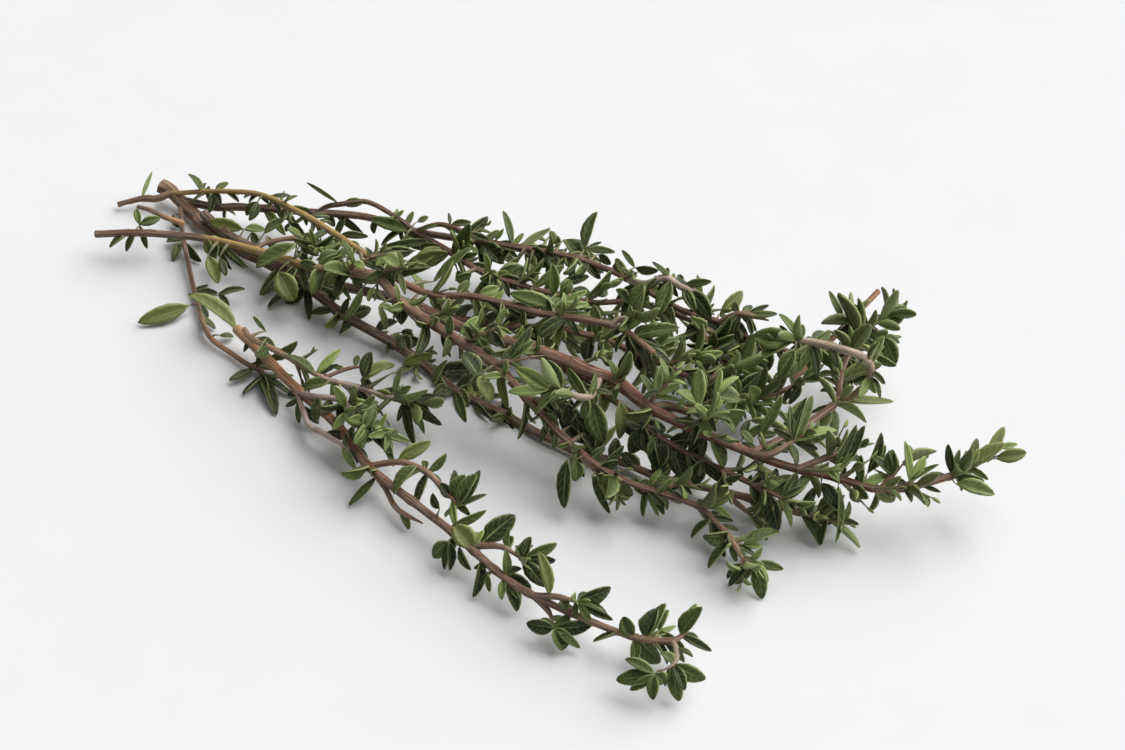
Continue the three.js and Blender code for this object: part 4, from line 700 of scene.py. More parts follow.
        (31, -31.5, 7, 1.8, D), (31.5, -35.5, 4, 2.4, D), (25.5, -33, 8, 1.1, G),
        (29, -34.5, 5.5, 1.1, Y)]), ((33.5, -38, 5.5), [(31.5, -34.5, 10.5, 2, O)]), ((38, -38, 6.5),
        [(42, -35, 7.5, 2.4, D), (42.5, -37, 6, 1.5, D), (43.5, -37.5, 5, 1.4, G),
        (40, -37.5, 6.5, 1.5, Y), (41.5, -39, 4.5, 1.3, P)]), ((35.5, -38, 6), [(37, -39, 5, 1.7, G)]),
        ((36, -41, 3), [(32.5, -43, 3.5, 2.4, D), (34, -41.5, 4, 1.4, G), (37, -39, 4.5, 1.5, G),
        (41, -39, 3, 2.4, D), (38, -43, 1, 3.2, G), (40, -42, 1, 1.5, G), (38, -41, 2.5, 1, Y)]),
        ((47.5, -39, 4.5), [(45, -38, 6.5, 2.4, G), (52, -38.5, 2, 3, G), (49, -41, 2, 1.7, G)]),
        ((49, -38.5, 4.5), [(48.5, -35, 7.5, 2.5, D), (50, -34, 8, 2.4, G), (52.5, -35, 5, 1.1, Y)]),
        ((50, -36.5, 5), [(50.5, -34, 7, 1.8, P), (54, -36.5, 3, 1.5, G)]), ((53.5, -36.5, 5.5),
        [(54.5, -33.5, 9.5, 2.5, G), (58, -36.5, 4, 1.4, D)]), ((53.5, -44.5, 5), [(49, -45, 6, 1.7, G),
        (49, -47.5, 4, 2.4, G), (51, -47.5, 3.5, 1.5, G), (54, -47, 2.5, 1.8, G),
        (55, -44.5, 4, 2.4, G)]), ((55, -42, 5.5), [(56.5, -45, 1.5, 2.4, G), (58, -44, 3.5, 1.8, D),
        (59.5, -42, 3.5, 2.6, G), (53, -41.5, 6.5, 1.7, G)]), ((-42, -4, 3.5),
        [(-51, -2.5, 7.5, 3.4, O)]),
    ],
    "front_side_sprig": [
        ((-22.5, -11, 6), [(-28, -9.5, 8, 1.7, G), (-21.5, -6, 9, 1.5, Y), (-20.5, -7.5, 7, 1, D),
        (-20, -10.5, 5, 1.4, D)]), ((-19.5, -11, 6), [(-23.5, -14, 4.5, 2.4, G),
        (-18, -12.5, 4, 1.1, G)]), ((-14.5, -9.5, 7), [(-14.5, -6, 10, 2.5, D),
        (-12.5, -5.5, 9, 2.2, O)]), ((-16.5, -10, 5.5), [(-11.5, -10.5, 2.5, 1.5, D)]), ((-9.5, -9, 5),
        [(-9, -6.5, 5.5, 1.8, G), (-11, -5.5, 8, 1.1, G), (-12.5, -9.5, 6, 1.7, P),
        (-8, -6.5, 6.5, 1.4, G)]), ((-7.5, -9, 5), [(-4, -5.5, 5.5, 1.5, D), (-4, -8, 4.5, 1.7, G),
        (-1, -8.5, 3, 1.8, D), (-3.5, -13, 0.5, 1.8, D), (-2.5, -10, 2, 1.4, G)]), ((-35.5, -5, 6),
        [(-38.5, -4.5, 7.5, 0.8, G)]),
    ],
    "mid_sprig": [
        ((-19, 16.5, 6), [(-21.5, 17.5, 8, 1.4, P)]), ((-13, 21.5, 6), [(-15.5, 21.5, 7, 1.8, G)]),
        ((-10, 15.5, 6), [(-12, 12.5, 4.5, 1.7, G)]), ((-10.5, 12, 6), [(-9, 16, 7, 2.5, D)]),
        ((-3, 13.5, 6), [(0, 17.5, 6.5, 2.5, D)]), ((0, 15, 6), [(4.5, 15, 5, 3.2, D)]),
        ((4.5, 14.5, 6.5), [(7.5, 14, 4.5, 2.5, G)]), ((11.5, 17, 7), [(12, 13.5, 4.5, 2.5, D)]),
        ((13, 17, 7), [(16.5, 15, 4.5, 2.5, D)]), ((19.5, 16.5, 7), [(18, 13.5, 4.5, 2.5, D),
        (22.5, 16, 4.5, 2.5, D)]), ((32.5, 14, 6.5), [(30, 14.5, 8, 2.5, G)]), ((38, 14.5, 6.5),
        [(40, 19, 9, 2.5, D)]), ((39.5, 16.5, 7), [(43, 17, 6, 2.5, D)]), ((42, 19.5, 7.5),
        [(44.5, 18.5, 6, 1.8, G), (43.5, 22.5, 8.5, 1.8, G)]), ((41.5, 17.5, 7.5),
        [(40.5, 15, 5.5, 1.8, D)]),
    ],
}


def chance(*keys):
    """A number from 0 to 1 that whole-number keys fix."""
    mixed = HASH_START
    for key in keys:
        mixed = ((mixed ^ key) * HASH_STEPS[0]) & WORD
        mixed ^= mixed >> 13
        mixed = (mixed * HASH_STEPS[1]) & WORD
        mixed ^= mixed >> 16
    return mixed / (WORD + 1)


def pick(ends, *keys):
    return ends[0] + (ends[1] - ends[0]) * chance(*keys)


def cross(a, b):
    return np.array([a[1] * b[2] - a[2] * b[1], a[2] * b[0] - a[0] * b[2], a[0] * b[1] - a[1] * b[0]])


def unit(vector):
    return vector / math.sqrt(vector @ vector)


# The upper faces of the leaves that are placed one by one.
seen_side = unit(np.array(view_back) + UP * SEEN_LIFT)


def trace(shoot):
    """Adds the fine axis of a shoot, a smooth curve through its route, and the distance along it."""
    route = np.array(shoot["route"], float)
    knots = np.vstack([2 * route[0] - route[1], route, 2 * route[-1] - route[-2]])
    axis = []
    for span in range(len(route) - 1):
        before, here, ahead, after = knots[span:span + 4]
        leave, arrive = (ahead - before) / 2, (after - here) / 2
        for t in np.arange(CURVE_STEPS) / CURVE_STEPS:
            bend = 3 * (ahead - here) - 2 * leave - arrive
            ease = 2 * (here - ahead) + leave + arrive
            axis.append(here + leave * t + bend * t ** 2 + ease * t ** 3)
    axis.append(route[-1])
    shoot["axis"] = np.array(axis)
    steps = np.linalg.norm(np.diff(shoot["axis"], axis=0), axis=1)
    shoot["reach"] = np.concatenate([[0], np.cumsum(steps)])
    shoot["length"] = shoot["reach"][-1]


def along(shoot, distance):
    """The place, direction and radius of a stem at a distance along it."""
    axis, reach = shoot["axis"], shoot["reach"]
    last = len(axis) - 1
    i = min(max(int(np.searchsorted(reach, distance)), 1), last)
    part = min(max((distance - reach[i - 1]) / (reach[i] - reach[i - 1]), 0), 1)
    place = axis[i - 1] + (axis[i] - axis[i - 1]) * part
    direction = unit(axis[min(i + 1, last)] - axis[max(i - 2, 0)])
    stops = shoot.get("girths") or [[0, shoot["girth"][0]], [shoot["length"], shoot["girth"][1]]]
    radius = np.interp(distance, *zip(*stops)) / 2
    return SimpleNamespace(place=place, direction=direction, radius=radius)


def across(direction):
    """Two unit vectors across a direction: one level, one leaning up."""
    up = np.array([1.0, 0.0, 0.0]) if abs(direction[2]) > STEEP else UP
    level = unit(cross(direction, up))
    return level, cross(level, direction)


def lean_out(direction, azimuth, pitch):
    """The way that leans out from a direction by a pitch, at an azimuth round it, both in degrees."""
    level, lift = across(direction)
    azimuth, pitch = math.radians(azimuth), math.radians(pitch)
    outward = level * math.cos(azimuth) + lift * math.sin(azimuth)
    return direction * math.cos(pitch) + outward * math.sin(pitch)


def make_leaf(root, aim, toward, length, width, curl, **looks):
    """A leaf by its root, the way it points and the way its upper face looks."""
    face = unit(toward - (toward @ aim) * aim)
    return SimpleNamespace(root=root, aim=aim, face=face, side=cross(aim, face),
                           length=length, width=width, curl=curl, **looks)


def blade_width(length, *keys):
    return length * SLENDERNESS * pick(WIDTH_SPREAD, *keys)


def lay_on_table(aim, root, length, sideways):
    """A leaf that would dip into the table is turned up to lie just over it."""
    lowest = (LOW_TIP - root[2]) / length
    if aim[2] >= lowest:
        return aim, False
    dip = max(lowest, -STEEP)
    level = aim * [1, 1, 0]
    if math.hypot(*level) < LEAST_LEVEL:
        level = (level + sideways) * [1, 1, 0]
    return unit(level) * math.sqrt(1 - dip * dip) + UP * dip, True


def aim_leaf(station, wish, trial):
    """The aim number `trial` of a leaf that stands at an azimuth and pitch on its stem."""
    swing = (1 if trial % 2 == 0 else -1) * math.ceil(trial / 2)
    free = lean_out(station.direction, wish.azimuth + swing * AIM_TURN, wish.pitch + swing * AIM_LIFT)
    aim, laid = lay_on_table(free, station.place, wish.length, across(station.direction)[0])
    toward = UP if laid else station.direction
    return make_leaf(station.place, aim, toward, wish.length, wish.width, 0 if laid else wish.curl,
                     youth=wish.youth)


class Room:
    """Balls that stand for the stems and blades already there."""

    def __init__(self, most):
        self.places = np.zeros((most, 3))
        self.radii = np.zeros(most)
        self.sprigs = np.zeros(most, int)
        self.count = 0

    def occupy(self, place, radius, sprig):
        self.places[self.count] = place
        self.radii[self.count] = radius
        self.sprigs[self.count] = sprig
        self.count += 1

    def round_leaf(self, root, length):
        """The balls that a leaf of that length could meet."""
        reach = length * SEARCH_REACH + SEARCH_MARGIN
        places, radii, sprigs = (held[:self.count] for held in (self.places, self.radii, self.sprigs))
        found = np.abs(places - root).max(axis=1) < reach
        return places[found], radii[found], sprigs[found]


room_left = Room(MOST_BALLS)


def midrib(leaf, part):
    drop = leaf.face * (leaf.length * leaf.curl * part * part)
    return leaf.root + leaf.aim * (leaf.length * part) - drop


def blade_points(leaf):
    """Points spread over the outer part of a blade, down its midrib and near its margins."""
    points = []
    for part in BALL_PARTS:
        middle = midrib(leaf, part)
        points.append(middle)
        reach = leaf.width * MARGIN_PART * min(1, TIP_NARROWING * (1 - part))
        if part >= ROOT_PART and reach > LEAST_MARGIN:
            points += [middle + leaf.side * reach, middle - leaf.side * reach]
    return np.array(points)


def crowding(leaf, sprig, near, shy=True):
    """What it costs to put a leaf here: infinite where a shy leaf would touch another sprig."""
    points = blade_points(leaf)
    places, radii, sprigs = near
    gaps = np.linalg.norm(points[:, None] - places[None], axis=2) - radii - BLADE_REACH
    other = sprigs != sprig
    if shy and (gaps[:, other] < SPRIG_GAP).any():
        return math.inf
    outer = np.linalg.norm(points - leaf.root, axis=1) >= ROOT_PART * leaf.length
    crowded = gaps[:, ~other] < 0 if shy else gaps < 0
    return crowded[outer].sum() + TABLE_COST * (points[:, 2] < 0).sum()


def place_leaf(station, wish, sprig, shy=True, tries=TRIES):
    """The least crowded aim, at full length or shortened, or nothing where there is no room."""
    near = room_left.round_leaf(station.place, wish.length)
    for scale in (1, SHORTENED):
        sized = SimpleNamespace(**{**vars(wish), "length": wish.length * scale,
                                   "width": wish.width * scale})
        best, least = None, math.inf
        for trial in range(tries):
            if least <= 0:
                break
            leaf = aim_leaf(station, sized, trial)
            leaf.crowded = crowding(leaf, sprig, near, shy)
            if leaf.crowded < least:
                best, least = leaf, leaf.crowded
        if best:
            return best
    return None


def wishes_of(shoot, key):
    """The leaves that a shoot would grow if it had room."""
    wishes = []

    def want(distance, azimuth, pitch, length, youth):
        n = len(wishes)
        wishes.append(SimpleNamespace(distance=distance, azimuth=azimuth, pitch=pitch, length=length,
                                      width=blade_width(length, *key, n, 1),
                                      curl=pick(CURL, *key, n, 2), youth=youth))

    for node, distance in enumerate(shoot.get("nodes", [])):
        base = QUARTER_TURN * node + FULL_TURN * chance(*key)
        for opposite in OPPOSITE:
            n = len(wishes)
            azimuth = base + opposite + pick(PAIR_TURN, *key, n, 3)
            length = shoot["leaf"] * pick(PAIR_LENGTH, *key, n, 5)
            want(distance, azimuth, pick(PAIR_PITCH, *key, n, 4), length, PAIR_YOUTH)
            for small in range(shoot.get("tuft", 0)):
                m = len(wishes)
                turned = base + opposite + (1 if small % 2 == 0 else -1) * pick(TUFT_TURN, *key, m, 6)
                want(distance + TUFT_OFFSET, turned, pick(TUFT_PITCH, *key, m, 7),
                     shoot["leaf"] * pick(TUFT_LENGTH, *key, m, 8), TUFT_YOUTH)
    tip = shoot.get("tip", 0)
    for place in range(tip):
        m = len(wishes)
        young, old = TIP_PITCH
        pitch = old + (young - old) * place / tip
        setback = TIP_SETBACK + TIP_SPACING * (tip - 1 - place)
        want(shoot["length"] - setback, GOLDEN_ANGLE * place, pitch,
             shoot["leaf"] * pick(TIP_LENGTH, *key, m, 9), TIP_YOUTH + TIP_YOUTH_RISE * place / tip)
    return wishes


def keep_leaf(leaf, sprig_number):
    SPRIGS[sprig_number]["leaves"].append(leaf)
    for point in blade_points(leaf):
        room_left.occupy(point, BLADE_REACH, sprig_number)


def nearest_on(sprig, place):
    """The point of a sprig's stems that is nearest to a place."""
    stems = np.vstack([shoot["axis"] for shoot in sprig["shoots"]])
    return stems[np.linalg.norm(stems - place, axis=1).argmin()]


def add_stalk(sprig, route):
    """A thin green stem, such as a bud or a tuft stands on."""
    stalk = dict(route=route, girth=BUD_GIRTH, bud=True)
    trace(stalk)
    sprig["buds"].append(stalk)
    return stalk


def grow_tuft(number, root, blades, key):
    """Leaves that share a root, each by its tip, on a short stalk where they stand off their stem.
    Where there are several, shorter ones stand between and below them."""
    sprig = SPRIGS[number]
    root = np.array(root, float)
    start = nearest_on(sprig, root)
    if np.linalg.norm(root - start) > LEAST_STALK:
        add_stalk(sprig, [start, (start + root) / 2 + UP * STALK_RISE, root])
    for index, (*tip, width, look) in enumerate(blades):
        reach = np.array(tip) - root
        length = math.sqrt(reach @ reach)
        curl = min(pick(SEEN_CURL, *key, index, 9), max(tip[2] - LOW_TIP, 0) / length)
        keep_leaf(make_leaf(root, reach / length, seen_side, length, width, curl, **look), number)
    if len(blades) < FULL_TUFT:
        return
    shown = sprig["leaves"][-len(blades):]
    depth = sprig["depth"] * (OPEN_DEPTH if root[0] > OPEN_END else 1)
    for index in range(round(len(blades) * depth)):
        leaf, leaf_key = shown[index % len(shown)], (*key, index)
        turn = math.radians(pick(UNDER_TURN, *leaf_key, 1)) * (1 if index % 2 else -1)
        sideways = unit(cross(UP, leaf.aim))
        length = min(max(leaf.length, LEAST_LEAF), MOST_LEAF) * pick(UNDER_LENGTH, *leaf_key, 2)
        shift = sideways * pick(UNDER_SHIFT, *leaf_key, 6) + leaf.aim * pick(UNDER_SHIFT, *leaf_key, 7)
        stem_place = nearest_on(sprig, root + shift)
        outward = sideways * math.sin(turn) + leaf.aim * math.cos(turn)
        aim = unit(outward - UP * pick(UNDER_DIP, *leaf_key, 3))
        aim, laid = lay_on_table(aim, stem_place, length, sideways)
        curl = 0 if laid else pick(CURL, *leaf_key, 4)
        # Its tone is kept near the darkest green as painted shade, for the shadow that it stands in below
        # the tuft.
        under = make_leaf(stem_place, aim, UP, length, blade_width(length, *leaf_key, 8), curl,
                          youth=PAIR_YOUTH, tone=UNDER_SHADE_TONE * chance(*leaf_key, 5))
        near = room_left.round_leaf(stem_place, length)
        if crowding(under, number, near, False) < MOST_HIDDEN:
            keep_leaf(under, number)


for number, sprig in enumerate(SPRIGS):
    sprig["leaves"], sprig["buds"] = [], []
    for shoot in sprig["shoots"]:
        trace(shoot)
        for distance in np.arange(0, shoot["length"], STEM_BALL_PITCH):
            station = along(shoot, distance)
            room_left.occupy(station.place, station.radius, number)
for number, sprig in enumerate(SPRIGS):
    for index, (root, blades) in enumerate(TUFTS.get(sprig["name"], [])):
        grow_tuft(number, root, blades, (number, index, TUFT_KEY))
for number, sprig in enumerate(SPRIGS):
    for shoot_number, shoot in enumerate(sprig["shoots"]):
        for index, wish in enumerate(wishes_of(shoot, (number, shoot_number))):
            leaf = place_leaf(along(shoot, wish.distance), wish, number)
            if not leaf or leaf.crowded >= MOST_CROWDED:
                continue
            fill = shoot.get("fill", sprig["fill"])
            if chance(number, shoot_number, index, FILL_KEY) < fill:
                keep_leaf(leaf, number)


# ---- Buds ----
# In the angle of each leaf sits a bud, a very short shoot with pairs of small leaves, and another
# ends each growing tip. They are small near the cut ends and full toward the leafy tips.
BUD_PITCH = (28, 55)
BUD_LENGTH = (1.6, 6.5)
BUD_PAIR_GAP = 1.5
BUD_PAIRS = 3
BUD_LEAF = (5.4, 2.3)
BUD_LEAF_PITCH = (68, 16)
BUD_SPREAD = (0.8, 1.15)
BUD_LEAVES_FROM, BUD_LEAVES_OVER = 0.35, 0.6
BUD_YOUTH, BUD_YOUTH_RISE = 0.25, 0.3
MOST_FRESH = 0.45
BUD_TRIES = 4
TIP_BUD_LENGTH = 2.4
BUD_KEY, TIP_BUD_KEY = 11, 12
SPARSE_END, FULL_FROM = -62, -20
LEAST_VIGOUR = 0.35
BARE_GIRTH = 1.15
BARE_HEIGHTS = (1, 2, 3, 4, 5)
BARE_BALL = 0.5
NODE_CLEARANCE = 1.6
TIP_TAPER = 3.5


def vigour(place):
    """How full the growth is: a third near the cut ends, and full from the middle on."""
    share = (1 - LEAST_VIGOUR) * (place[0] - SPARSE_END) / (FULL_FROM - SPARSE_END)
    return min(max(LEAST_VIGOUR + share, LEAST_VIGOUR), 1)


# The main stems stay bare between their leaf pairs on the side that faces up and forward.
bare_side = np.array(view_back)
for number, sprig in enumerate(SPRIGS):
    for shoot in sprig["shoots"]:
        if shoot["girth"][0] < BARE_GIRTH:
            continue
        for distance in np.arange(0, shoot["length"] - TIP_TAPER, STEM_BALL_PITCH):
            if all(abs(distance - node) > NODE_CLEARANCE for node in shoot.get("nodes", [])):
                for height in BARE_HEIGHTS:
                    place = along(shoot, distance).place + bare_side * height
                    room_left.occupy(place, BARE_BALL, number)


def grow_bud(root, aim, length, number, lush, key):
    """A short shoot with pairs of small leaves that get smaller and steeper toward its tip."""
    strength = vigour(root) * lush
    tip = root + aim * length
    tip[2] = max(tip[2], LOW_TIP / 2)
    bud = add_stalk(SPRIGS[number], [root, (root + tip) / 2, tip])
    turn = FULL_TURN * chance(*key, 1)
    fresh = MOST_FRESH * chance(*key, 2) ** 2
    pairs = max(BUD_PAIRS, round(length / BUD_PAIR_GAP))
    for pair in range(pairs):
        share = pair / (pairs - 1)
        size = (BUD_LEAF[0] + (BUD_LEAF[1] - BUD_LEAF[0]) * share) * strength ** 0.5
        pitch = BUD_LEAF_PITCH[0] + (BUD_LEAF_PITCH[1] - BUD_LEAF_PITCH[0]) * share
        for opposite in OPPOSITE:
            leaf_key = (*key, pair, opposite)
            if chance(*leaf_key, 3) > strength:
                continue
            span = size * pick(BUD_SPREAD, *leaf_key, 4)
            wish = SimpleNamespace(
                azimuth=turn + QUARTER_TURN * pair + opposite + pick(PAIR_TURN, *leaf_key, 5),
                pitch=pitch + pick(PAIR_TURN, *leaf_key, 6) / 2,
                length=span, width=blade_width(span, *leaf_key, 7), curl=pick(CURL, *leaf_key, 8),
                youth=BUD_YOUTH + BUD_YOUTH_RISE * share + fresh)
            station = along(bud, bud["length"] * (BUD_LEAVES_FROM + BUD_LEAVES_OVER * share))
            leaf = place_leaf(station, wish, number, False, BUD_TRIES)
            if leaf.crowded < MOST_HIDDEN:
                keep_leaf(leaf, number)


for number, sprig in enumerate(SPRIGS):
    for shoot_number, shoot in enumerate(sprig["shoots"]):
        key = (number, shoot_number)
        lush = shoot.get("lush", sprig["lush"])
        if not lush:
            continue
        for node, distance in enumerate(shoot.get("nodes", [])):
            station = along(shoot, distance)
            for opposite in OPPOSITE:
                bud_key = (*key, node, opposite, BUD_KEY)
                turn = QUARTER_TURN * node + FULL_TURN * chance(*key) + opposite
                aim = lean_out(station.direction, turn, pick(BUD_PITCH, *bud_key))
                length = pick(BUD_LENGTH, *bud_key, 1) * vigour(station.place)
                grow_bud(station.place, aim, length, number, lush, bud_key)
        if shoot.get("tip"):
            end = along(shoot, shoot["length"])
            grow_bud(end.place, end.direction, TIP_BUD_LENGTH, number, lush, (*key, TIP_BUD_KEY))


# ---- Leaves ----
# Each leaf is a narrow oval blade on a short stalk. Its upper face is channelled along the midrib,
# its margins roll under, and a keel runs below. It is leathery, dark above and pale below.
TABLE_GAP = 0.03
BLADE_DEPTH = 0.6
SMALL_BLADE, SMALL_DEPTH = 3, 0.7
# The rings of a blade, each by its part of the length and its half width, and its tip.
BLADE_RINGS = ((0.05, 0.17), (0.18, 0.6), (0.37, 0.96), (0.59, 0.97), (0.79, 0.73), (0.93, 0.4))
TIP_THINNING = 0.55
TIP_HEIGHT = -0.1
# Half of its section, each point by its share of the half width, its height and 1 where it is above.
BLADE_SECTION = ((0, -0.05, 1), (0.5, 0.55, 1), (1, 0.1, 1), (0.86, -0.4, 0), (0, -0.7, 0))
# How far a leaf's halves fold up, how far it leans and bends to a side, and its ripples.
LEAF_CUP = (0.15, 0.95)
YOUNG_CUP = 1.2
LEAF_ROLL = 0.8
LEAF_SWAY = 0.2
BOTH_WAYS = (-1, 1)
WAVE_SIZE = 3.5
WAVE_HEIGHT = 0.22
LOOK_KEY = 21


def blade_mesh():
    """One blade, a unit long and a unit in half its width, with where each point lies on it."""
    right = list(BLADE_SECTION)
    section = right + [(-share, height, top) for share, height, top in right[-2:0:-1]]
    points, looks = [(0, 0, 0)], [(0, 0, 1)]
    for part, width in BLADE_RINGS:
        depth = 1 - TIP_THINNING * part
        for share, height, top in section:
            points.append((part, share * width, height * depth))
            looks.append((part, share, top))
    points.append((1, 0, TIP_HEIGHT))
    looks.append((1, 0, 1))
    sides = len(section)
    last = len(points) - 1
    faces = []
    for side in range(sides):
        after = (side + 1) % sides
        faces.append((0, 1 + side, 1 + after))
        faces.append((last, last - sides + after, last - sides + side))
        for ring in range(len(BLADE_RINGS) - 1):
            a, b = 1 + ring * sides + side, 1 + ring * sides + after
            faces.append((a, a + sides, b + sides, b))
    mesh = bpy.data.meshes.new("blade")
    mesh.from_pydata(points, [], faces)
    for column, name in enumerate(("part", "share", "top")):
        store = mesh.attributes.new(name, "FLOAT", "POINT")
        store.data.foreach_set("value", [look[column] for look in looks])
    return mesh


def spaced(names):
    return {name.replace("_", " "): value for name, value in names.items()}


def new_tree(name, **inputs):
    """A geometry tree with named inputs, each of its kind: its first wire, and its inputs' wires."""
    tree = bpy.data.node_groups.new(name, "GeometryNodeTree")
    kinds = {"Geometry": "Geometry", **spaced(inputs)}
    for label, kind in kinds.items():
        tree.interface.new_socket(label, in_out="INPUT", socket_type="NodeSocket" + kind)
    tree.interface.new_socket("Geometry", in_out="OUTPUT", socket_type="NodeSocketGeometry")
    entry = tree.nodes.new("NodeGroupInput")
    return Wire(tree), {label: Wire(tree, entry.outputs[label]) for label in kinds}


def end_tree(geometry):
    tree = geometry.tree
    tree.links.new(geometry.socket, tree.nodes.new("NodeGroupOutput").inputs[0])
    return tree


def stored(start, name, kind="FLOAT"):
    """What the points or faces hold under a name, inside a geometry tree."""
    return start.node("GeometryNodeInputNamedAttribute", {"data_type": kind}, {"Name": name}, "Attribute")


def through(kind, geometry, settings=None, **inputs):
    """A geometry after one more node, with that node's other inputs by name."""
    return geometry.node("GeometryNode" + kind, settings, {"Geometry": geometry, **spaced(inputs)})


def planted(points, item, turn, size):
    """A copy of an object on each point, turned and sized, all as one mesh."""
    shape = points.node("GeometryNodeObjectInfo", None, {"Object": item}, "Geometry")
    copies = points.node("GeometryNodeInstanceOnPoints", None,
                         {"Points": points, "Instance": shape, "Rotation": turn, "Scale": size})
    return through("RealizeInstances", copies)


def over_table(geometry, gap):
    """The points that would sink into the table are raised to a small gap over it."""
    x, y, z = geometry.node("GeometryNodeInputPosition").parts()
    place = geometry.node("ShaderNodeCombineXYZ", None, {"X": x, "Y": y, "Z": z.math("MAXIMUM", z, gap)})
    return through("SetPosition", geometry, Position=place)


def cleared(geometry, *names):
    """A geometry without what its points hold under some names."""
    for name in names:
        geometry = through("RemoveAttribute", geometry, Name=name)
    return geometry


def grown(name, seed_mesh, tree, values):
    """Runs a tree on a mesh and keeps what it makes as a plain mesh."""
    seed = show(bpy.data.objects.new(name + "_seed", seed_mesh))
    modifier = seed.modifiers.new("grow", "NODES")
    modifier.node_group = tree
    for item in tree.interface.items_tree:
        if item.in_out == "INPUT" and item.name in values:
            modifier[item.identifier] = values[item.name]
    graph = bpy.context.evaluated_depsgraph_get()
    mesh = bpy.data.meshes.new_from_object(seed.evaluated_get(graph), depsgraph=graph)
    bpy.data.objects.remove(seed)
    mesh.name = name
    return show(bpy.data.objects.new(name, mesh))


def leaf_tree():
    start, entry = new_tree("leaves", Blade="Object", Wave_Size="Float", Wave_Height="Float",
                            Table_Gap="Float", Material="Material")
    aim, face, size = (stored(start, name, "FLOAT_VECTOR") for name in ("aim", "face", "size"))
    part, share, cup, curl, sway = (
        stored(start, name) for name in ("part", "share", "cup", "curl", "sway"))
    turn = start.node("FunctionNodeAxesToRotation", {"primary_axis": "X", "secondary_axis": "Z"},
                      {"Primary Axis": aim, "Secondary Axis": face})
    leaves = planted(entry["Geometry"], entry["Blade"], turn, size)
    length, half_width, _ = size.parts()
    side = start.vector("CROSS_PRODUCT", face, aim)
    back = length * part * part
    cupped = half_width * start.math("ABSOLUTE", share) * cup * (part * (1 - part) * 4)
    wave = start.node("ShaderNodeTexNoise", None,
                      {"Vector": start.node("GeometryNodeInputPosition"), "Scale": entry["Wave Size"],
                       "Detail": 1.0}, "Color")
    ripple = start.vector("SUBTRACT", wave, (0.5, 0.5, 0.5)) * (entry["Wave Height"] * part)
    bend = face * (cupped - back * curl) + side * (back * sway) + ripple
    leaves = over_table(through("SetPosition", leaves, Offset=bend), entry["Table Gap"])
    leaves = cleared(leaves, "aim", "face", "size", "curl", "sway", "cup")
    leaves = through("SetShadeSmooth", leaves)
    return end_tree(through("SetMaterial", leaves, Material=entry["Material"]))


def note(looks, **values):
    """Adds one point's values to the lists that are kept by name."""
    for name, value in values.items():
        looks.setdefault(name, []).append(value)


def points_mesh(name, places, edges, looks):
    """Points, with the values that each holds under a name."""
    mesh = bpy.data.meshes.new(name)
    mesh.from_pydata([tuple((place - MIDDLE) * MM) for place in places], edges, [])
    for label, values in looks.items():
        values = np.array(values, np.float32)
        kind, field = ("FLOAT", "value") if values.ndim == 1 else ("FLOAT_VECTOR", "vector")
        mesh.attributes.new(label, kind, "POINT").data.foreach_set(field, values.ravel())
    return mesh


LEAF_DARK = paint("#222c0f")
LEAF_GREEN = paint("#63723c")
LEAF_YOUNG = paint("#8ca05c")
LEAF_OLIVE = paint("#6b7038")
UNDER_GREEN = paint("#636e42")
UNDER_YOUNG = paint("#93a06c")
LEAF_RIB = paint("#b3bf80")
# Pale margin colour: partly the leaf's own paler rolled edge, partly a painted highlight for the back
# light glinting along the edges.
LEAF_EDGE_AND_GLINT = paint("#a1ad74")
LEAF_BLUSH = paint("#5a4238")
LEAF_SPOT = paint("#2c2b18")
LEAF_LIME = paint("#8fa04f")
MOTTLE_SCALE, CELL_SCALE, DOT_SCALE = 700, 3200, 1500.0
VEINS, VEIN_SLANT = 38, 9
# Where each part of a blade starts and ends, by its share of the half width or part of the length.
MIDRIB, CHANNEL, VEINED, MARGIN = (0.02, 0.14), (0, 0.14), (0.05, 0.25), (0.74, 0.98)
STALK = (0.03, 0.16)
DOT = (0.16, 0.28)
UPPER_FACE = (0.35, 0.65)
# What turns olive, fresh and lime green, by tone or youth, and which pale undersides turn reddish.
OLIVE, FRESH, PALE, LIME = (0.82, 0.95), (0.15, 1.1), (0.2, 1), (1, 1.3)
RED_FROM, RED_UNTIL = (0.6, 0.75), (0.78, 0.82)
LEAF_ROUGHNESS, LEAF_SPECULAR = 0.57, 0.3
LEAF_RELIEF, LEAF_BUMP = 0.08, 0.5


def looked_up(start, name, output="Fac"):
    """What a surface holds under a name, inside a material."""
    return start.node("ShaderNodeAttribute", {"attribute_type": "GEOMETRY", "attribute_name": name},
                      output=output)


def coated(colour, *coats):
    """A colour with others over it, each by where it lies, how strong it is and what it is."""
    for mask, strength, coat in coats:
        colour = (mask * strength).mix(colour, coat)
    return colour


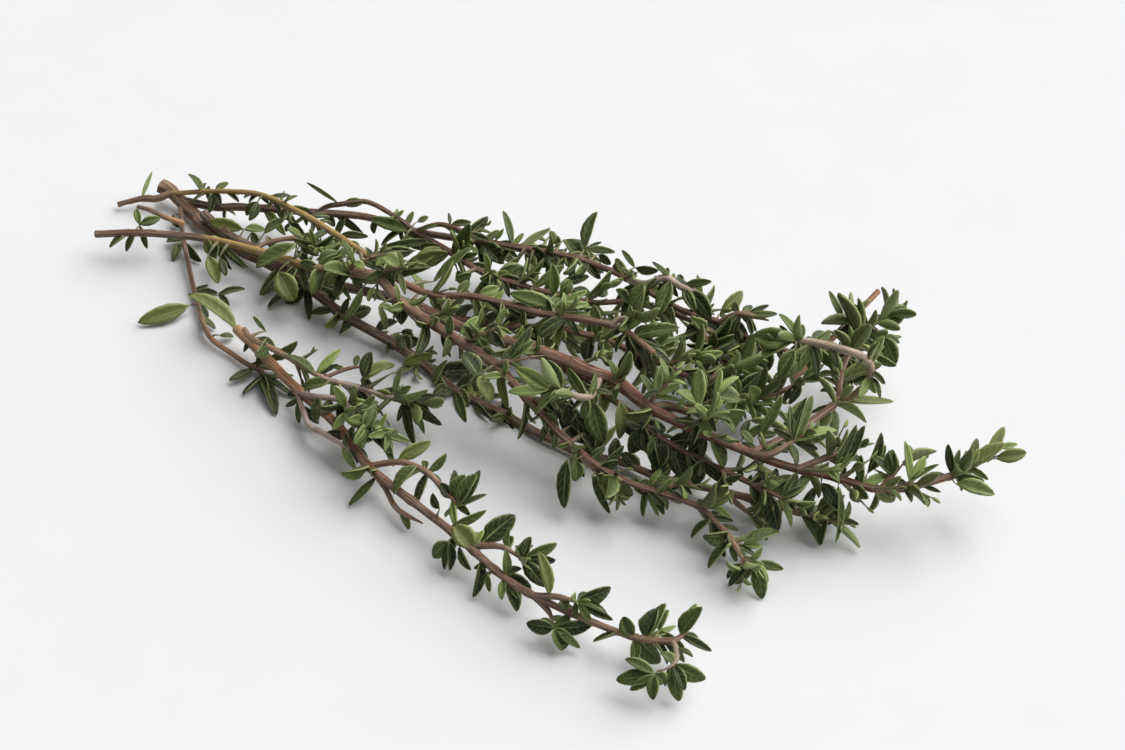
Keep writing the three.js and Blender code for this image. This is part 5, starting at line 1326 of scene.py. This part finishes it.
def leaf_material():
    made, start, shader = material_of("thyme_leaf", LEAF_ROUGHNESS)
    place = on_object(start)
    part, share, top = (looked_up(start, name) for name in ("part", "share", "top"))
    tone, youth, spots, blush = (looked_up(start, name) for name in ("tone", "youth", "spots", "blush"))
    off_rib = start.math("ABSOLUTE", share)
    mottle = noise(start, place, MOTTLE_SCALE, 3, 0.6)
    cells = noise(start, place, CELL_SCALE, 2, 0.6)
    lime = youth.between(*LIME)
    upper = coated(
        (tone * 0.75 + mottle * 0.5 - 0.12).between(0, 1).mix(LEAF_DARK, LEAF_GREEN),
        (tone.between(*OLIVE), 0.7, LEAF_OLIVE),
        (youth.between(*FRESH), 0.7 + mottle * 0.6, LEAF_YOUNG),
        (lime, 1, LEAF_LIME),
        (mottle.between(0.3, 0.6), blush, LEAF_BLUSH))
    reddish = tone.between(*RED_FROM) * (1 - tone.between(*RED_UNTIL))
    under = coated(youth.between(*PALE).mix(UNDER_GREEN, UNDER_YOUNG), (reddish, 0.45, LEAF_BLUSH))
    veins = start.math("SINE", part * VEINS - off_rib * VEIN_SLANT)
    dots = start.node("ShaderNodeTexVoronoi", {"feature": "F1"}, {"Vector": place, "Scale": DOT_SCALE},
                      "Distance")
    green = coated(
        top.between(*UPPER_FACE).mix(under, upper),
        (veins.between(0.55, 1) * off_rib.between(*VEINED), 0.12 + youth * 0.15 + lime * 0.3, LEAF_RIB),
        # Pale margins: the leaf's own paler rolled edge plus a painted highlight where the back light
        # glints on the edges.
        (off_rib.between(*MARGIN), 0.6 + youth * 0.3, LEAF_EDGE_AND_GLINT),
        ((1 - off_rib.between(*MIDRIB)) * (1 - part * 0.7), 0.65 + youth * 0.3, LEAF_RIB),
        (1 - part.between(*STALK), 0.35, LEAF_RIB),
        (1 - dots.between(*DOT), spots, LEAF_SPOT))
    shade = start.node("ShaderNodeHueSaturation", None,
                       {"Saturation": 1.0, "Value": 0.78 + mottle * 0.26 + cells * 0.2, "Color": green})
    height = cells * 0.5 + (1 - off_rib.between(*CHANNEL)) * top * -1.2 + veins * 0.12
    bump = start.node("ShaderNodeBump", None,
                      {"Strength": LEAF_BUMP, "Distance": LEAF_RELIEF * MM, "Height": height})
    feed(shader, Base_Color=shade, Normal=bump,
         Roughness=LEAF_ROUGHNESS - youth * 0.08 - mottle * 0.14)
    shader.inputs["Specular IOR Level"].default_value = LEAF_SPECULAR
    return made


blade = show(bpy.data.objects.new("blade", blade_mesh()))
leaf_growth = leaf_tree()
leaf_green = leaf_material()
for number, sprig in enumerate(SPRIGS):
    looks = {}
    for index, leaf in enumerate(sprig["leaves"]):
        key = (number, index, LOOK_KEY)
        fresh = min(leaf.youth, 1)
        depth = BLADE_DEPTH * (SMALL_DEPTH if leaf.length < SMALL_BLADE else 1)
        grown_look = dict(tone=chance(*key, 4), youth=leaf.youth, spots=0, blush=0)
        note(looks,
             aim=leaf.aim,
             face=unit(leaf.face + leaf.side * LEAF_ROLL * pick(BOTH_WAYS, *key, 5)),
             size=(leaf.length * MM, leaf.width / 2 * MM, depth * MM),
             curl=leaf.curl,
             sway=LEAF_SWAY * pick(BOTH_WAYS, *key, 3),
             cup=pick(LEAF_CUP, *key, 1) * (1 - fresh) + YOUNG_CUP * fresh * chance(*key, 2),
             **{name: vars(leaf).get(name, value) for name, value in grown_look.items()})
    roots = points_mesh("leaf_roots", [leaf.root for leaf in sprig["leaves"]], [], looks)
    leaves = grown(sprig["name"] + "_leaves", roots, leaf_growth, {
        "Blade": blade, "Wave Size": 1 / (WAVE_SIZE * MM), "Wave Height": WAVE_HEIGHT * MM,
        "Table Gap": TABLE_GAP * MM, "Material": leaf_green})
    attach(leaves, "root")
    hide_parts(sprig["name"])
bpy.data.objects.remove(blade)


# ---- Stems ----
# Thyme stems are thin and square with rounded corners, swollen where leaves stand, and fibrous. The
# old ones at the cut ends are rounder, knotty and brown, the young ones reddish with a pale bloom.
STEM_STEP = 0.55
STEM_SIDES = 12
SQUARE_PART, ROUND_PART = 0.55, 0.42
NODE_SWELLING = 0.2
NODE_REACH = 0.8
TIP_GIRTH = 0.3
FIBRE_DEPTH, FIBRE_SIZE = 0.13, 2.0
FIBRE_AROUND, FIBRE_ALONG = 1.6, 0.25
GNARL_DEPTH, GNARL_SIZE = 0.75, 420
BARK = {name: paint(code) for name, code in {
    "brown": "#7d5f47", "umber": "#503a29", "plum": "#634434", "ochre": "#b3954a", "tan": "#b98a5c",
    "dusty": "#8f6f55", "russet": "#764532", "wine": "#6d4938", "lilac": "#c2b1a6",
    "beige": "#bda996", "pinkish": "#98775f", "rust": "#955f3a", "green": "#66703f"}.items()}
YOUNG_BARK = [[0, "wine"], [6, "pinkish"]]
BUD_BARK = [[0, "wine"], [1.5, "green"]]
CUT_WOOD = paint("#c2a878")
SPECK_SCALE, CUT_GRAIN = 3800, 2500
CORNER = (0.36, 0.5)
BLOOM = (0.55, 0.75)
PALE_FIBRE, DARK_FIBRE = (0.5, 0.68), (0.32, 0.48)
WARM_PATCH, DARK_PATCH = (0.5, 0.72), (0.28, 0.46)
# Patterns of the bark: how fast they change round a stem and along it, then scale, detail, roughness.
FIBRES, PATCHES = (2.2, 0.16, 1.6, 4, 0.7), (0.5, 0.3, 1.1, 2, 0.5)
BARK_ROUGHNESS, BARK_SPECULAR = 0.5, 0.35
BARK_RELIEF, BARK_BUMP = 0.14, 0.9


def bark_at(shoot, distance):
    stops = shoot.get("bark") or (BUD_BARK if shoot.get("bud") else YOUNG_BARK)
    colours = np.array([BARK[name][:3] for _, name in stops])
    return [np.interp(distance, [stop[0] for stop in stops], colours[:, channel]) for channel in range(3)]


def stem_paths(shoots):
    """The axes of stems, with the girth and look at each point."""
    places, edges, looks = [], [], {}
    for shoot in shoots:
        length = shoot["length"]
        joints = np.array(shoot.get("nodes", [math.inf]))
        tapers = shoot.get("tip") or shoot.get("bud")
        distances = np.linspace(0, length, max(3, round(length / STEM_STEP)))
        before = None
        for i, distance in enumerate(distances):
            station = along(shoot, distance)
            level, _ = across(station.direction)
            if before is not None and level @ before < 0:
                level = -level
            before = level
            joint = math.exp(-(np.abs(distance - joints).min() / NODE_REACH) ** 2)
            girth = station.radius * (1 + NODE_SWELLING * joint)
            if tapers:
                girth *= TIP_GIRTH + (1 - TIP_GIRTH) * min(1, (length - distance) / TIP_TAPER)
            if i:
                edges.append((len(places) - 1, len(places)))
            places.append(station.place)
            note(looks, level=level, girth=girth * MM, tint=bark_at(shoot, distance), travel=distance,
                 joint=joint, gnarl=shoot.get("woody", 0))
    return points_mesh("stem_axes", places, edges, looks)


def lengthwise(start, distance):
    return start.node("ShaderNodeCombineXYZ", None, {"Z": distance})


def stem_tree():
    start, entry = new_tree("stems", Sides="Int", Fibre_Depth="Float", Gnarl_Depth="Float",
                            Table_Gap="Float", Material="Material", Cut_Material="Material")
    axis = start.node("GeometryNodeMeshToCurve", None, {"Mesh": entry["Geometry"]})
    axis = start.node("GeometryNodeSetCurveNormal", {"mode": "FREE"},
                      {"Curve": axis, "Normal": stored(start, "level", "FLOAT_VECTOR")})
    ring = start.node("GeometryNodeCurvePrimitiveCircle", {"mode": "RADIUS"},
                      {"Resolution": entry["Sides"], "Radius": 1.0}, "Curve")
    around = start.node("GeometryNodeInputPosition")
    ring = through("StoreNamedAttribute", ring, {"data_type": "FLOAT_VECTOR", "domain": "POINT"},
                   Name="ring", Value=around)
    x, y, _ = around.parts()
    square = (x ** 4 + y ** 4) ** -0.25
    ring = through("SetPosition", ring, Position=around * (square * SQUARE_PART + ROUND_PART))
    stems = start.node("GeometryNodeCurveToMesh", None,
                       {"Curve": axis, "Profile Curve": ring, "Scale": stored(start, "girth"),
                        "Fill Caps": True})
    circle = stored(start, "ring", "FLOAT_VECTOR")
    fibre_place = circle * FIBRE_AROUND + lengthwise(start, stored(start, "travel") * FIBRE_ALONG)
    fibre = noise(start, fibre_place, FIBRE_SIZE, 3, 0.6) - 0.5
    place = start.node("GeometryNodeInputPosition")
    lump = (noise(start, place, GNARL_SIZE, 2, 0.6) - 0.45) * stored(start, "gnarl")
    outward = start.node("GeometryNodeInputNormal", output="Normal")
    push = fibre * entry["Fibre Depth"] + lump * entry["Gnarl Depth"]
    stems = over_table(through("SetPosition", stems, Offset=outward * push), entry["Table Gap"])
    corners = start.node("GeometryNodeInputMeshFaceNeighbors", output="Vertex Count")
    cut = start.node("FunctionNodeCompare", {"data_type": "INT", "operation": "GREATER_THAN"},
                     {"A": corners, "B": 4})
    side = start.node("FunctionNodeBooleanMath", {"operation": "NOT"}, {0: cut})
    stems = through("SetShadeSmooth", stems, Shade_Smooth=side)
    stems = through("SetMaterial", stems, Material=entry["Material"])
    stems = through("SetMaterial", stems, Selection=cut, Material=entry["Cut Material"])
    return end_tree(through("RealizeInstances", cleared(stems, "level", "girth")))


def stem_material():
    made, start, shader = material_of("thyme_stem", BARK_ROUGHNESS)
    ring = looked_up(start, "ring", "Vector")
    tint = looked_up(start, "tint", "Color")
    travel, joint, gnarl = (looked_up(start, name) for name in ("travel", "joint", "gnarl"))

    def pattern(around, along_stem, *grain):
        return noise(start, ring * around + lengthwise(start, travel) * along_stem, *grain)

    fibre, patch = pattern(*FIBRES), pattern(*PATCHES)
    speck = noise(start, on_object(start), SPECK_SCALE, 2, 0.7)
    x, y, _ = ring.parts()
    bark = coated(
        tint,
        (patch.between(*WARM_PATCH), 0.35, BARK["russet"]),
        (1 - patch.between(*DARK_PATCH), 0.3, BARK["umber"]),
        (joint, 0.45, BARK["umber"]),
        (fibre.between(*PALE_FIBRE), 0.65, BARK["beige"]),
        (1 - fibre.between(*DARK_FIBRE), 0.85, BARK["umber"]),
        (start.math("ABSOLUTE", x * y).between(*CORNER), 0.35, BARK["beige"]),
        (speck.between(*BLOOM), 0.3 - gnarl * 0.2, BARK["lilac"]))
    bump = start.node("ShaderNodeBump", None,
                      {"Strength": BARK_BUMP, "Distance": BARK_RELIEF * MM,
                       "Height": fibre + speck * 0.25})
    feed(shader, Base_Color=bark, Roughness=BARK_ROUGHNESS + fibre * 0.25, Normal=bump)
    shader.inputs["Specular IOR Level"].default_value = BARK_SPECULAR
    return made


def cut_material():
    made, start, shader = material_of("cut_stem", 0.7)
    grain = noise(start, on_object(start), CUT_GRAIN, 3)
    feed(shader, Base_Color=grain.between(0.35, 0.75).mix(CUT_WOOD, BARK["tan"]))
    return made


stem_growth = stem_tree()
stem_bark = stem_material()
stem_cut = cut_material()


def grow_stems(name, node, shoots):
    stems = grown(name, stem_paths(shoots), stem_growth, {
        "Sides": STEM_SIDES, "Fibre Depth": FIBRE_DEPTH * MM, "Gnarl Depth": GNARL_DEPTH * MM,
        "Table Gap": TABLE_GAP * MM, "Material": stem_bark, "Cut Material": stem_cut})
    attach(stems, "root")
    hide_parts(node)
    return stems


stem_pieces = {}
for sprig in SPRIGS:
    name = sprig["name"]
    young = [shoot for shoot in sprig["shoots"] if not shoot.get("woody")]
    stem_pieces[name] = grow_stems(name + "_stems", name, young + sprig["buds"])


# ---- Stump ----
# The bundle's five back stems grew from one short woody stump, which was torn off with a side twig.
# It is knotty and brown, with deep cracks.
for sprig in SPRIGS:
    old = [shoot for shoot in sprig["shoots"] if shoot.get("woody")]
    if old:
        grow_stems(sprig["name"] + "_stump", sprig["name"], old)


# ---- Hairs ----
# Thyme stems carry short stiff hairs. They are white, and stand close enough to blur the edge of a
# stem and to pale its colour.
HAIR_DENSITY = 4.5
HAIR_LENGTH = (0.14, 0.34)
HAIR_GIRTH = 0.032
HAIR_LEAN = 0.6
HAIR_SIDES = 3
HAIR_SEED = 7


def needle_mesh():
    """A hair a unit long and a unit in half its girth, closed at its foot."""
    turns = [2 * math.pi * side / HAIR_SIDES for side in range(HAIR_SIDES)]
    points = [(math.cos(turn), math.sin(turn), 0) for turn in turns] + [(0, 0, 1)]
    faces = [tuple(range(HAIR_SIDES - 1, -1, -1))]
    faces += [(side, (side + 1) % HAIR_SIDES, HAIR_SIDES) for side in range(HAIR_SIDES)]
    mesh = bpy.data.meshes.new("needle")
    mesh.from_pydata(points, [], faces)
    return mesh


def hair_tree():
    start, entry = new_tree("hairs", Needle="Object", Density="Float", Shortest="Float",
                            Longest="Float", Girth="Float", Lean="Float", Seed="Int",
                            Table_Gap="Float", Material="Material")
    roots = start.node("GeometryNodeDistributePointsOnFaces", None,
                       {"Mesh": entry["Geometry"], "Density": entry["Density"], "Seed": entry["Seed"]},
                       "Points")
    outward = Wire(start.tree, roots.socket.node.outputs["Normal"])
    sway = start.node("FunctionNodeRandomValue", {"data_type": "FLOAT_VECTOR"},
                      {"Min": (-1.0, -1.0, -1.0), "Max": (1.0, 1.0, 1.0), "Seed": entry["Seed"]}, "Value")
    length = start.node("FunctionNodeRandomValue", {"data_type": "FLOAT"},
                        {"Min": entry["Shortest"], "Max": entry["Longest"], "Seed": entry["Seed"]},
                        "Value")
    turn = start.node("FunctionNodeAlignRotationToVector", {"axis": "Z"},
                      {"Vector": outward + sway * entry["Lean"]})
    size = start.node("ShaderNodeCombineXYZ", None,
                      {"X": entry["Girth"], "Y": entry["Girth"], "Z": length})
    hairs = over_table(planted(roots, entry["Needle"], turn, size), entry["Table Gap"])
    hairs = cleared(hairs, "ring", "tint", "travel", "joint", "gnarl")
    return end_tree(through("SetMaterial", hairs, Material=entry["Material"]))


hair_white, _, shader = material_of("hair", 0.6)
shader.inputs["Base Color"].default_value = paint("#d3c9bb")
needle = show(bpy.data.objects.new("needle", needle_mesh()))
hair_growth = hair_tree()
for name, stems in stem_pieces.items():
    hairs = grown(name + "_hairs", stems.data, hair_growth, {
        "Needle": needle, "Density": HAIR_DENSITY / MM ** 2, "Shortest": HAIR_LENGTH[0] * MM,
        "Longest": HAIR_LENGTH[1] * MM, "Girth": HAIR_GIRTH / 2 * MM, "Lean": HAIR_LEAN,
        "Seed": HAIR_SEED, "Table Gap": TABLE_GAP * MM, "Material": hair_white})
    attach(hairs, "root")
    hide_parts(name)
bpy.data.objects.remove(needle)
